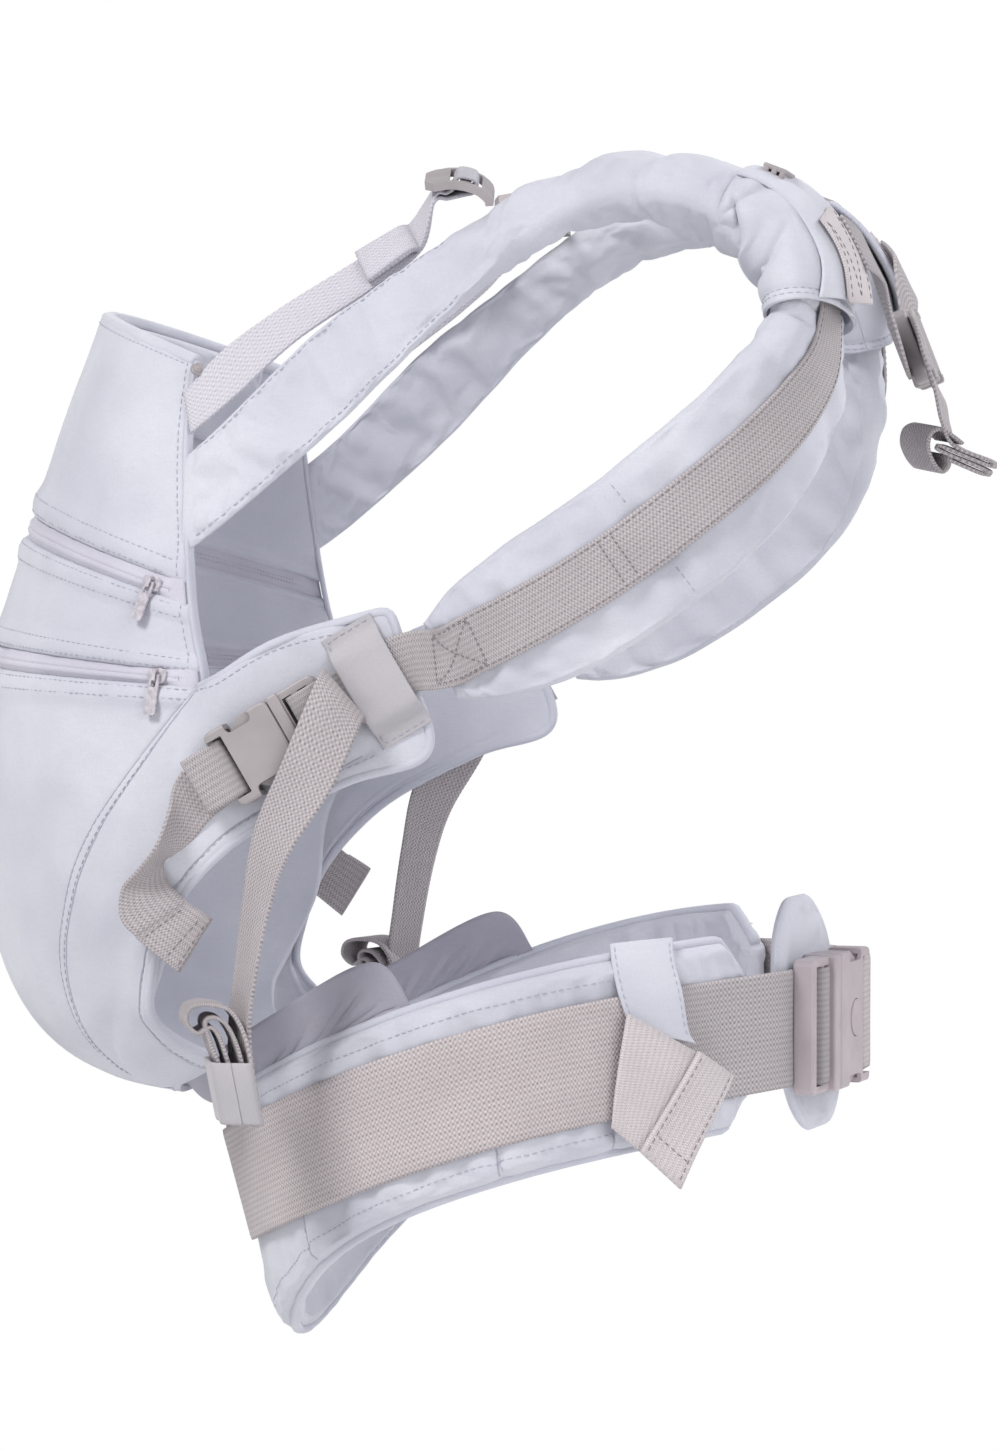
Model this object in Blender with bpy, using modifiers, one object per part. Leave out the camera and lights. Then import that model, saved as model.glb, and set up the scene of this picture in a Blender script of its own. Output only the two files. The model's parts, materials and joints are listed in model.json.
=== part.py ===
"""Soft baby carrier, worn on the chest: buckles, zips, straps and padded cloth as separate pieces.

The wearer faces -X, the wearer's left side is -Y and +Z is up. The origin is the middle of the waist
belt's ring. Straps and panels are mirror images about the plane Y = 0.
"""
import math

import bmesh
import bpy
from mathutils import Matrix, Vector

MM = 0.001

# Clearances
GAP = 0.3 * MM                  # between pieces that touch
RUNNING_GAP = 0.35 * MM         # between moulded pieces that slide in one another

# Webbing and cloth
STRAP_WEB = 25 * MM             # width of the shoulder, side and back webbing
WAIST_WEB = 50 * MM             # width of the waist belt's webbing
WEB_THICK = 1.6 * MM
PANEL_THICK = 5 * MM            # padded front panel
WING_THICK = 4 * MM             # thigh wing that carries the side buckle

# Waist belt
WAIST_DEPTH = 234 * MM          # inside, front to back
WAIST_WIDTH = 300 * MM          # inside, side to side
BELT_PAD_THICK = 13 * MM
BELT_BACK_Z = 42 * MM           # height of the belt's middle at the back
BELT_DROP = 79 * MM             # how much lower its middle is at the front
BELT_ABOVE = 40 * MM            # pad above the belt's middle
BELT_BELOW = 39 * MM            # pad below the belt's middle
FRONT_LOBE = 29 * MM            # how much further the pad reaches down at the front
PAD_END_ANGLE = 46              # degrees from the back where the pad ends on each side

# Front panel: the middle of the front (x, z) and the left edge (x, y, z), from the top down
PANEL_TOP = ((-194, 350), (-131, -105, 326))
PANEL_NECK = ((-208, 312), (-132, -119, 288))
PANEL_UPPER_ZIP = ((-226, 258), (-126, -136, 226))
PANEL_LOWER_ZIP = ((-244, 200), (-118, -144, 191))
PANEL_THIGH = ((-249, 150), (-112, -150, 158))
PANEL_SEAT = ((-247, 105), (-128, -153, 118))
PANEL_LEG = ((-238, 62), (-132, -150, 84))
PANEL_UNDER = ((-218, 30), (-142, -141, 58))
PANEL_BASE = ((-188, 12), (-148, -120, 38))
PANEL_HEM = ((-154, 6), (-141, -96, 20))
ZIP_BAND = 9 * MM               # visible width of a zip between two panels
ZIP_COIL = 3.2 * MM             # width of its closed coil
ZIP_RIB = 0.9 * MM              # how far the coil stands out of the tape
ZIP_REACH = 0.95                # share of the panel's half width that a zip covers

# Shoulder strap, left side, from the panel over the shoulder: (upper edge), (lower edge), thickness
STRAP_RUN = (
    ((-125, -121.5, 291), (-124, -133, 243), 5),
    ((-98, -119, 318), (-92, -130, 272), 5),
    ((-69, -114, 347), (-52, -125, 306), 6),
    ((-36, -106, 372), (-20, -119, 337), 9),
    ((-2, -88, 392), (8, -116, 364), 15),
    ((28, -68, 401), (30, -118, 384), 20),
    ((59, -64, 402), (59, -122, 395), 23),
    ((90, -64, 397), (90, -122, 390), 24),
    ((117, -65, 381), (113, -122, 372), 22),
)
# Lower pad of the strap, left side: (middle), (normal), width, thickness
PAD_RUN = (
    ((122, -96, 367), (0.86, -0.10, 0.42), 54, 17),
    ((129, -98.5, 353), (0.95, -0.15, 0.15), 58, 18),
    ((131, -102, 338), (0.96, -0.26, 0.05), 56, 18),
    ((128, -111, 318), (0.85, -0.50, -0.05), 60, 18),
    ((114, -129, 292), (0.55, -0.83, -0.05), 62, 17),
    ((90, -145, 266), (0.22, -0.97, 0.00), 64, 16),
    ((59, -152, 241), (0.05, -1.00, 0.00), 64, 15),
    ((27, -155, 221), (0.00, -1.00, 0.00), 62, 13),
    ((0, -156, 207), (-0.02, -1.00, 0.00), 50, 10),
    ((-15, -156, 200), (-0.02, -1.00, 0.00), 34, 6),
)
STRAP_STEPS = 24
PAD_STEPS = 22
CUFF_RUN = (
    ((109, -93, 383), (0.62, 0.00, 0.78), 67, 34),
    ((122, -93, 372), (0.85, -0.03, 0.52), 66, 31),
    ((130, -96, 358), (0.96, -0.10, 0.20), 65, 30),
    ((132, -100, 343), (0.97, -0.22, 0.03), 66, 30),
)
CUFF_THICK = 2 * MM

# Moulded buckles. Each runs along its own x from the socket's bar, at -x, to the plug's ladder, at +x;
# its mouth is at x = 0 and its face looks along +z.
BUCKLE_RAIL = 4.5 * MM          # frame beside the webbing, on each side
BUCKLE_WALL = 1.8 * MM
SOCKET_ANGLE = 30.6             # slope of the side buckle in degrees
SIDE_BUCKLE_MOUTH = (-78, -164.4, 169.5)
SIDE_BUCKLE = dict(web=STRAP_WEB, thick=11 * MM, socket=31 * MM, plug=22 * MM, tongue=14 * MM,
                   shoulder=5.5 * MM, slot=4.6 * MM, bar=2.8 * MM)
BACK_BUCKLE = dict(SIDE_BUCKLE)
WAIST_BUCKLE = dict(web=WAIST_WEB, thick=15 * MM, socket=45 * MM, plug=33 * MM, tongue=9 * MM,
                    shoulder=9 * MM, slot=7 * MM, bar=4.5 * MM)
PRONG_SWING = 9                 # degrees that a prong bends inward
WAIST_BUTTON_RADIUS = 8 * MM
WAIST_BUTTON_TRAVEL = 2 * MM

# ------------------------------------------------------------------------------------------------
# Scene, collections and materials


def clear_scene():
    for thing in list(bpy.data.objects):
        bpy.data.objects.remove(thing)


def new_collection(name):
    made = bpy.data.collections.new(name)
    bpy.context.scene.collection.children.link(made)
    return made


def finish(name, colour, roughness, metallic=0.0):
    made = bpy.data.materials.new(name)
    made.use_nodes = True
    shader = made.node_tree.nodes["Principled BSDF"]
    shader.inputs["Base Color"].default_value = (*colour, 1)
    shader.inputs["Roughness"].default_value = roughness
    shader.inputs["Metallic"].default_value = metallic
    return made


def add_node(name, bm, look, place=None):
    """Make a named piece of the carrier from a bmesh, with a material of its own."""
    mesh = bpy.data.meshes.new(name)
    if place:
        bmesh.ops.transform(bm, matrix=place, verts=bm.verts)
    bm.to_mesh(mesh)
    bm.free()
    piece = bpy.data.objects.new(name, mesh)
    colour, roughness, metallic = look
    piece.data.materials.append(finish(name, colour, roughness, metallic))
    CARRIER.objects.link(piece)
    return piece


def add_tool(name, bm, place=None):
    """A hidden shape that cuts or joins another."""
    mesh = bpy.data.meshes.new(name)
    if place:
        bmesh.ops.transform(bm, matrix=place, verts=bm.verts)
    bm.to_mesh(mesh)
    bm.free()
    tool = bpy.data.objects.new(name, mesh)
    tool.hide_render = True
    tool.display_type = "WIRE"
    CUTTERS.objects.link(tool)
    return tool


def combine(piece, tool, operation):
    change = piece.modifiers.new(tool.name, "BOOLEAN")
    change.object = tool
    change.operation = operation
    change.solver = "EXACT"


CLOTH = ((0.74, 0.75, 0.83), 0.9, 0)
CLOTH_SHADE = ((0.62, 0.62, 0.70), 0.9, 0)
WEBBING = ((0.52, 0.49, 0.50), 0.85, 0)
MOULDED = ((0.40, 0.37, 0.40), 0.5, 0)
MOULDED_DARK = ((0.32, 0.27, 0.31), 0.45, 0)
COIL = ((0.55, 0.52, 0.58), 0.6, 0)
ZINC = ((0.45, 0.43, 0.45), 0.35, 1)

# ------------------------------------------------------------------------------------------------
# Curves and sheets


def smooth_at(points, share):
    """The point at a share of the way along a smooth curve through the given points."""
    spans = len(points) - 1
    at = min(max(share, 0.0), 1.0) * spans
    k = min(int(at), spans - 1)
    t = at - k
    near = [points[min(max(k + j, 0), spans)] for j in (-1, 0, 1, 2)]
    return [
        0.5 * (2 * b + (c - a) * t + (2 * a - 5 * b + 4 * c - d) * t**2 + (3 * b - a - 3 * c + d) * t**3)
        for a, b, c, d in zip(*near)
    ]


def lay_sheet(name, across, along, place, thick, look, offset=-1.0, weight=None):
    """A sheet laid on a formula surface, place(u, v) with u and v from 0 to 1, then given a thickness."""
    bm = bmesh.new()
    bmesh.ops.create_grid(bm, x_segments=across, y_segments=along, size=0.5)
    layer = bm.verts.layers.deform.verify() if weight else None
    for vert in bm.verts:
        u = vert.co.x + 0.5
        v = vert.co.y + 0.5
        if weight:
            vert[layer][0] = weight(u, v)
        vert.co = place(u, v)
    piece = add_node(name, bm, look)
    wall = piece.modifiers.new("thickness", "SOLIDIFY")
    wall.thickness = thick
    wall.offset = offset
    if weight:
        piece.vertex_groups.new(name="thickness")
        wall.vertex_group = "thickness"
        wall.thickness_vertex_group = 0.0
    return piece


def strap_frame(stations, share):
    """Middle, direction, width direction, normal, width and thickness at a share along a strap."""
    flat = [(*point, *normal, width, thick) for point, normal, width, thick in stations]
    here = smooth_at(flat, share)
    step = 0.004
    ahead = Vector(smooth_at(flat, min(share + step, 1.0))[:3])
    behind = Vector(smooth_at(flat, max(share - step, 0.0))[:3])
    along = (ahead - behind).normalized()
    middle = Vector(here[:3])
    normal = Vector(here[3:6])
    normal = (normal - along * normal.dot(along)).normalized()
    return middle, along, along.cross(normal), normal, here[6], here[7]


def mirrored(point, side):
    """Left side stays, and the right side is its mirror image about Y = 0."""
    return Vector((point[0], point[1] * (1 if side == "left" else -1), point[2]))


def band_point(stations, share, across):
    """A point on a band given by its two edges, and the band's thickness there."""
    flat = [(*upper, *lower, thick) for upper, lower, thick in stations]
    here = smooth_at(flat, share)
    upper = Vector(here[:3])
    lower = Vector(here[3:6])
    return upper + (lower - upper) * across, here[6]


def lay_band(name, stations, look, side="left", along=24, across=2, edge=1.0):
    """A band between two edges, in millimetres, its wall grown both ways from their ruled surface."""
    widest = max(station[2] for station in stations)

    def place(u, v):
        return mirrored(band_point(stations, v if side == "left" else 1 - v, u)[0] * MM, side)

    def weight(u, v):
        thick = band_point(stations, v if side == "left" else 1 - v, u)[1]
        return thick / widest * (1 - (1 - edge) * abs(2 * u - 1) ** 3)

    return lay_sheet(name, across, along, place, widest * MM, look, offset=0.0, weight=weight)


def lay_strap(name, stations, look, side="left", along=24, across=2, lift=0.0, edge=1.0, span=(0.0, 1.0)):
    """A strap or pad that follows its stations, in millimetres, with its edges thinned to a share."""
    widest = max(station[3] for station in stations)

    def share_of(v):
        v = v if side == "left" else 1 - v
        return span[0] + (span[1] - span[0]) * v

    def place(u, v):
        middle, _, wide, normal, width, _ = strap_frame(stations, share_of(v))
        return mirrored((middle + wide * width * (u - 0.5) + normal * lift) * MM, side)

    def weight(u, v):
        thick = strap_frame(stations, share_of(v))[5]
        return thick / widest * (1 - (1 - edge) * abs(2 * u - 1) ** 3)

    return lay_sheet(name, across, along, place, widest * MM, look, offset=0.0, weight=weight)


# ------------------------------------------------------------------------------------------------
# Boxes and outlines for moulded pieces


def add_block(bm, low, high):
    made = bmesh.ops.create_cube(bm, size=1.0)["verts"]
    size = [b - a for a, b in zip(low, high)]
    middle = [(a + b) / 2 for a, b in zip(low, high)]
    bmesh.ops.scale(bm, vec=size, verts=made)
    bmesh.ops.translate(bm, vec=middle, verts=made)
    return made


def round_upright(bm, verts, radius, segments=3):
    """Round the edges of a block that run along z."""
    edges = {e for v in verts for e in v.link_edges if abs(e.verts[0].co.z - e.verts[1].co.z) > 1e-6}
    bmesh.ops.bevel(bm, geom=list(edges), offset=radius, segments=segments, profile=0.5,
                    affect="EDGES", material=-1)


def round_rim(bm, radius, segments=1):
    """Round the edges around the two flat faces that look along z."""
    edges = [e for e in bm.edges if len(e.link_faces) == 2
             and any(abs(f.normal.z) > 0.99 for f in e.link_faces)
             and any(abs(f.normal.z) < 0.5 for f in e.link_faces)]
    bmesh.ops.bevel(bm, geom=edges, offset=radius, segments=segments, profile=0.5,
                    affect="EDGES", material=-1)


def add_plate(outline, low, high):
    """A flat plate with the given outline, drawn anticlockwise, between two heights."""
    bm = bmesh.new()
    verts = [bm.verts.new((x, y, low)) for x, y in outline]
    face = bm.faces.new(verts)
    raised = bmesh.ops.extrude_face_region(bm, geom=[face])["geom"]
    top = [g for g in raised if isinstance(g, bmesh.types.BMVert)]
    bmesh.ops.translate(bm, vec=(0, 0, high - low), verts=top)
    bmesh.ops.recalc_face_normals(bm, faces=bm.faces)
    bm.normal_update()
    return bm


def box_tool(name, boxes, place):
    bm = bmesh.new()
    for low, high in boxes:
        add_block(bm, low, high)
    return add_tool(name, bm, place)


# ------------------------------------------------------------------------------------------------
# Side-release buckle


def buckle_sizes(kind):
    """Sizes that follow from a buckle's webbing, thickness and lengths."""
    half = kind["web"] / 2
    size = dict(kind)
    size["half_slot"] = half + 0.6 * MM
    size["half_width"] = half + BUCKLE_RAIL
    size["half_cavity"] = size["half_width"] - 1.3 * BUCKLE_WALL
    size["half_bore"] = kind["thick"] / 2 - BUCKLE_WALL
    size["bar_slot"] = (-kind["socket"] + kind["bar"], -kind["socket"] + kind["bar"] + kind["slot"])
    size["cavity_end"] = size["bar_slot"][1] + BUCKLE_WALL
    catch = -0.28 * kind["socket"]
    size["window"] = (size["cavity_end"] + 1.0 * MM, catch)
    return size


def make_socket(name, kind, place, look, button=False):
    """Socket: a flat moulded sleeve with a bar for its webbing and an open side over each prong."""
    s = buckle_sizes(kind)
    bm = bmesh.new()
    verts = add_block(bm, (-s["socket"], -s["half_width"], -s["thick"] / 2),
                      (0, s["half_width"], s["thick"] / 2))
    round_upright(bm, verts, 0.3 * BUCKLE_RAIL + 1.5 * MM)
    bm.normal_update()
    round_rim(bm, 1.2 * MM, 2)
    socket = add_node(name, bm, look, place)
    far = s["thick"]
    lead = 2 * MM
    window = (s["window"][0], s["window"][1])
    inner = s["half_cavity"] - 2.4 * MM
    cavity = [((s["cavity_end"], -s["half_cavity"], -s["half_bore"]),
               (lead, s["half_cavity"], s["half_bore"]))]
    slot = [((s["bar_slot"][0], -s["half_slot"], -far), (s["bar_slot"][1], s["half_slot"], far))]
    combine(socket, box_tool(name + "_cavity", cavity, place), "DIFFERENCE")
    combine(socket, box_tool(name + "_slot", slot, place), "DIFFERENCE")
    bar = 0.22 * s["thick"]
    step = s["bar_slot"][1] - 0.4 * MM
    side = s["half_slot"] + 0.2 * MM
    thinned = [((-s["socket"] - lead, -side, bar), (step, side, far)),
               ((-s["socket"] - lead, -side, -far), (step, side, -bar))]
    combine(socket, box_tool(name + "_bar", thinned, place), "DIFFERENCE")
    scoops = bmesh.new()
    for sign in (-1, 1):
        verts = add_block(scoops, (window[0], -far, -far), (window[1], far, far))
        bmesh.ops.translate(scoops, vec=(0, sign * (inner + far), 0), verts=verts)
        edges = {e for v in verts for e in v.link_edges if abs(e.verts[0].co.z - e.verts[1].co.z) > 1e-6}
        inward = [e for e in edges if abs(e.verts[0].co.y) < inner + 0.5 * MM]
        bmesh.ops.bevel(scoops, geom=inward, offset=2.0 * MM, segments=3, profile=0.5,
                        affect="EDGES", material=-1)
    combine(socket, add_tool(name + "_windows", scoops, place), "DIFFERENCE")
    if button:
        bore = bmesh.new()
        bmesh.ops.create_cone(bore, cap_ends=True, segments=32, radius1=WAIST_BUTTON_RADIUS + GAP,
                              radius2=WAIST_BUTTON_RADIUS + GAP, depth=s["thick"])
        bmesh.ops.translate(bore, vec=(button_seat(kind), 0, s["thick"] / 2), verts=bore.verts)
        combine(socket, add_tool(name + "_button_bore", bore, place), "DIFFERENCE")
    return socket


def button_seat(kind):
    return -0.5 * kind["socket"]


def make_button(name, kind, place, look):
    """Round safety button in the socket's face, standing 0.6 mm proud of it."""
    top = kind["thick"] / 2 + 0.6 * MM
    base = kind["thick"] / 2 - BUCKLE_WALL - 0.8 * MM
    bm = bmesh.new()
    bmesh.ops.create_cone(bm, cap_ends=True, segments=32, radius1=WAIST_BUTTON_RADIUS,
                          radius2=WAIST_BUTTON_RADIUS, depth=top - base)
    bmesh.ops.translate(bm, vec=(button_seat(kind), 0, (top + base) / 2), verts=bm.verts)
    rim = [e for e in bm.edges if all(v.co.z > top - 0.1 * MM for v in e.verts)]
    bmesh.ops.bevel(bm, geom=rim, offset=0.5 * MM, segments=2, profile=0.5, affect="EDGES", material=-1)
    return add_node(name, bm, look, place)


def make_plug(name, kind, place, look):
    """Plug: a shoulder with a guide tongue in front and a two-slot ladder behind."""
    s = buckle_sizes(kind)
    flat = 0.62 * s["thick"] / 2
    bm = bmesh.new()
    inset = 0.5 * MM
    verts = add_block(bm, (2 * MM, inset - s["half_width"], -flat),
                      (s["plug"], s["half_width"] - inset, flat))
    round_upright(bm, verts, 0.3 * BUCKLE_RAIL + 1.5 * MM)
    bm.normal_update()
    round_rim(bm, 0.9 * MM, 2)
    plug = add_node(name, bm, look, place)
    shoulder = bmesh.new()
    verts = add_block(shoulder, (GAP, -s["half_width"], -s["thick"] / 2),
                      (s["shoulder"], s["half_width"], s["thick"] / 2))
    round_upright(shoulder, verts, 1.2 * MM, 2)
    shoulder.normal_update()
    round_rim(shoulder, 1.0 * MM, 2)
    combine(plug, add_tool(name + "_shoulder", shoulder, place), "UNION")
    tongue = bmesh.new()
    verts = add_block(tongue, (-s["tongue"], -0.25 * s["half_width"], -s["half_bore"] + RUNNING_GAP),
                      (1.5 * MM, 0.25 * s["half_width"], s["half_bore"] - RUNNING_GAP))
    round_upright(tongue, verts, 1.0 * MM, 2)
    combine(plug, add_tool(name + "_tongue", tongue, place), "UNION")
    first = s["shoulder"] + 0.6 * MM
    second = first + s["slot"] + s["bar"]
    far = s["thick"]
    slots = [((at, -s["half_slot"], -far), (at + s["slot"], s["half_slot"], far)) for at in (first, second)]
    combine(plug, box_tool(name + "_slots", slots, place), "DIFFERENCE")
    return plug


def make_prongs(name, kind, place, look):
    """The plug's two springy arms, with a catch on each that fills the socket's window."""
    s = buckle_sizes(kind)
    catch = s["window"][1] - GAP
    tip = s["window"][0] + 0.8 * MM
    arm = 2.8 * MM if kind["web"] < WAIST_WEB else 4.0 * MM
    outer = s["half_cavity"] - 2.2 * MM
    flank = s["half_width"] - 0.2 * MM
    reach = catch - tip
    outline = [
        (0, outer - arm), (0, outer), (catch + 0.7 * MM, outer + 0.1 * MM), (catch, outer + 0.8 * MM),
        (catch, flank - 0.9 * MM),
        (catch - 0.12 * reach, flank), (catch - 0.45 * reach, flank - 0.2 * MM),
        (catch - 0.85 * reach, outer + 1.2 * MM), (tip, outer - 0.6 * MM),
        (tip + 0.6 * MM, outer - arm + 0.2 * MM),
        (catch + 0.2 * MM, outer - arm),
    ]
    high = s["half_bore"] - RUNNING_GAP
    for word, sign in (("upper", 1), ("lower", -1)):
        shape = [(x, sign * y) for x, y in outline]
        bm = add_plate(shape, -high, high)
        round_rim(bm, 0.4 * MM)
        add_node(f"{name}_{word}", bm, look, place)


def prong_pivot(kind):
    """Where a prong bends: the middle of its root, across the buckle."""
    s = buckle_sizes(kind)
    arm = 2.8 * MM if kind["web"] < WAIST_WEB else 4.0 * MM
    return s["half_cavity"] - 2.2 * MM - arm / 2


def buckle_place(origin, along, face):
    """A buckle's own frame from its mouth, in millimetres, its direction and the way its face looks."""
    x = Vector(along).normalized()
    z = Vector(face)
    z = (z - x * z.dot(x)).normalized()
    y = z.cross(x)
    turn = Matrix((x, y, z)).transposed().to_4x4()
    return Matrix.Translation(Vector(origin) * MM) @ turn


# ------------------------------------------------------------------------------------------------
# Front panel: every level section is an arc of a circle through both side edges and the front

PANEL_LEVELS = (PANEL_TOP, PANEL_NECK, PANEL_UPPER_ZIP, PANEL_LOWER_ZIP, PANEL_THIGH, PANEL_SEAT,
                PANEL_LEG, PANEL_UNDER, PANEL_BASE, PANEL_HEM)
UPPER_ZIP_LEVEL = 2 / (len(PANEL_LEVELS) - 1)
LOWER_ZIP_LEVEL = 3 / (len(PANEL_LEVELS) - 1)


def panel_arc(level):
    """Centre, radius, half angle and forward direction of the panel's arc at a level from 0 to 1."""
    flat = [(*front, *edge) for front, edge in PANEL_LEVELS]
    fx, fz, ex, ey, ez = smooth_at(flat, level)
    chord = abs(ey)
    forward = Vector((fx - ex, 0, fz - ez))
    height = forward.length
    forward.normalize()
    radius = (chord**2 + height**2) / (2 * height)
    centre = Vector((fx, 0, fz)) - forward * radius
    return centre, radius, math.acos((radius - height) / radius), forward


def panel_point(level, turn, out=0.0):
    """A point on the panel's outer face, turn from -1 at the left edge to 1 at the right."""
    centre, radius, half, forward = panel_arc(level)
    angle = turn * half
    return (centre + (radius + out) * (math.cos(angle) * forward + math.sin(angle) * Vector((0, 1, 0)))) * MM


def level_step(level, millimetres):
    """How far to move a level so that the front of the panel moves by some millimetres."""
    step = 0.004
    run = (panel_point(level + step, 0) - panel_point(level - step, 0)).length / (2 * step)
    return millimetres * MM / run


def panel_piece(name, top, bottom, along, look, thick, across=20, out=0.0, reach=1.0):
    """A part of the panel between two levels, its wall built inwards."""
    def place(u, v):
        return panel_point(bottom + (top - bottom) * v, (1 - 2 * u) * reach, out)

    return lay_sheet(name, across, along, place, thick, look, offset=-1.0)


def zip_edges(level):
    """The levels of the two panel edges beside a zip."""
    half = level_step(level, ZIP_BAND / MM / 2 + 2 * GAP / MM)
    return level - half, level + half


def make_zip(name, level):
    """Zip tape between two panels, with its closed coil as a raised rib along the middle."""
    half_band = level_step(level, ZIP_BAND / MM / 2)
    half_rib = level_step(level, ZIP_COIL / MM / 2)
    bands = ((half_band, 0), (1.3 * half_rib, 0), (half_rib, ZIP_RIB), (-half_rib, ZIP_RIB),
             (-1.3 * half_rib, 0), (-half_band, 0))

    def place(u, v):
        step, rise = bands[int(round(v * (len(bands) - 1)))]
        return panel_point(level + step, (1 - 2 * u) * ZIP_REACH, rise / MM)

    return lay_sheet(name, 32, len(bands) - 1, place, 1.2 * MM, COIL, offset=-1.0)


def zip_place(level, turn):
    """Frame on a zip: x along the coil towards the left end, y up the panel and z straight out of it."""
    centre, radius, half, forward = panel_arc(level)
    angle = turn * half
    radial = math.cos(angle) * forward + math.sin(angle) * Vector((0, 1, 0))
    along = math.sin(angle) * forward - math.cos(angle) * Vector((0, 1, 0))
    slope = panel_point(level - 0.02, turn) - panel_point(level + 0.02, turn)
    up = (slope - along * slope.dot(along)).normalized()
    out = along.cross(up)
    turn_matrix = Matrix((along, up, out)).transposed().to_4x4()
    return Matrix.Translation((centre + radius * radial) * MM) @ turn_matrix


ZIP_SLIDER_LENGTH = 9 * MM
ZIP_SLIDER_WIDTH = 7 * MM
ZIP_PULL_LENGTH = 17 * MM
ZIP_SEAT = ZIP_RIB + 1.5 * GAP       # the slider rides on the coil's rib
ZIP_LUG = 3.7 * MM              # height of the loop that holds the pull, above the coil
ZIP_PIN = ZIP_SEAT + 2.2 * MM   # height of the pull's pin


def make_zip_slider(name, level, turn):
    """Zip slider: a body with a nose, and a lug with a cross hole that holds the pull's pin."""
    place = zip_place(level, turn)
    half_long = ZIP_SLIDER_LENGTH / 2
    half_wide = ZIP_SLIDER_WIDTH / 2
    outline = [(-half_long, -0.6 * half_wide), (0.3 * half_long, -half_wide), (half_long, -0.7 * half_wide),
               (half_long, 0.7 * half_wide), (0.3 * half_long, half_wide), (-half_long, 0.6 * half_wide)]
    bm = add_plate(outline, ZIP_SEAT, ZIP_SEAT + 1.3 * MM)
    round_rim(bm, 0.35 * MM, 2)
    slider = add_node(name, bm, ZINC, place)
    lug = bmesh.new()
    add_block(lug, (-0.8 * MM, -2.4 * MM, ZIP_SEAT + 0.8 * MM), (0.8 * MM, 2.4 * MM, ZIP_SEAT + ZIP_LUG))
    combine(slider, add_tool(name + "_lug", lug, place), "UNION")
    eye = bmesh.new()
    add_block(eye, (-3 * MM, -1.3 * MM, ZIP_PIN - 0.85 * MM), (3 * MM, 1.3 * MM, ZIP_PIN + 0.85 * MM))
    combine(slider, add_tool(name + "_eye", eye, place), "DIFFERENCE")
    return slider


def make_zip_pull(name, level, turn):
    """Flat pull tab with a window at its root; its cross pin sits in the slider's lug."""
    place = zip_place(level, turn)
    half_thick = 0.45 * MM
    root = 0.55 * MM
    bm = add_plate([(-2.7 * MM, -ZIP_PULL_LENGTH), (2.7 * MM, -ZIP_PULL_LENGTH),
                    (2.3 * MM, root), (-2.3 * MM, root)], ZIP_PIN - half_thick, ZIP_PIN + half_thick)
    corners = [e for e in bm.edges if abs(e.verts[0].co.z - e.verts[1].co.z) > half_thick
               and e.verts[0].co.y < 0]
    bmesh.ops.bevel(bm, geom=corners, offset=1.2 * MM, segments=3, profile=0.5, affect="EDGES", material=-1)
    pull = add_node(name, bm, ZINC, place)
    window = [((-1.15 * MM, -5.0 * MM, 0), (1.15 * MM, -root, 2 * ZIP_PIN))]
    combine(pull, box_tool(name + "_window", window, place), "DIFFERENCE")
    return pull


# ------------------------------------------------------------------------------------------------
# Waist belt


def belt_point(angle, out=0.0, rise=0.0):
    """A point on the belt: angle in degrees from the back round the left side, metres out and up."""
    a = WAIST_DEPTH / 2 + out
    b = WAIST_WIDTH / 2 + out
    x = a * math.cos(math.radians(angle))
    y = -b * math.sin(math.radians(angle))
    share = (a - x) / (2 * a)
    lean = 0.5 * math.atan(2 * BELT_DROP / (2 * a) * share)
    z = BELT_BACK_Z - BELT_DROP * share**2
    return Vector((x - rise * math.sin(lean), y, z + rise * math.cos(lean)))


def belt_direction(angle):
    return (belt_point(angle + 1) - belt_point(angle - 1)).normalized()


def pad_edges(angle):
    """How far the pad reaches below and above the belt's middle."""
    front = max(0.0, -math.cos(math.radians(angle)))
    below = BELT_BELOW + FRONT_LOBE * front**4
    return below, BELT_ABOVE


def make_belt_pad():
    def place(u, v):
        angle = PAD_END_ANGLE + (360 - 2 * PAD_END_ANGLE) * u
        below, above = pad_edges(angle)
        fade = min(1.0, 0.5 + 0.07 * min(angle - PAD_END_ANGLE, 360 - PAD_END_ANGLE - angle))
        rise = (-below + (below + above) * v) * fade
        return belt_point(angle, BELT_PAD_THICK / 2, rise)

    def weight(u, v):
        edge = 1 - 0.6 * abs(2 * v - 1) ** 3
        return edge

    return lay_sheet("waist_pad", 42, 4, place, BELT_PAD_THICK, CLOTH, offset=0.0, weight=weight)


WAIST_MOUTH_ANGLE = 13          # where the waist buckle's mouth lies, in degrees from the back
WAIST_BUCKLE_OUT = BELT_PAD_THICK + 0.5 * WAIST_BUCKLE["thick"] + 1 * MM


def waist_buckle_place():
    """The waist buckle's frame: the plug's ladder points to the left side of the belt."""
    along = belt_direction(WAIST_MOUTH_ANGLE)
    face = Vector((0, 0, 1)).cross(along)
    if face.x < 0:
        face = -face
    mouth = belt_point(WAIST_MOUTH_ANGLE, WAIST_BUCKLE_OUT - 3 * MM)
    return buckle_place(mouth / MM, along, face)


FLAP_HEIGHT = 104 * MM
FLAP_THICK = 5 * MM
FLAP_NEAR = 36 * MM             # how far the flap reaches past the mouth towards the plug
FLAP_FAR = 50 * MM              # and towards the socket
WAIST_UNDER = (0.62 * WAIST_BUCKLE["thick"] / 2 + GAP + WEB_THICK / 2) / MM


def waist_pair(x, z, half=WAIST_WEB / MM / 2):
    """Upper and lower edges of the wide webbing where it crosses the waist buckle."""
    place = waist_buckle_place()
    first = place @ Vector((x * MM, half * MM, z * MM))
    second = place @ Vector((x * MM, -half * MM, z * MM))
    upper, lower = (first, second) if first.z > second.z else (second, first)
    return tuple(upper / MM), tuple(lower / MM)


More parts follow.
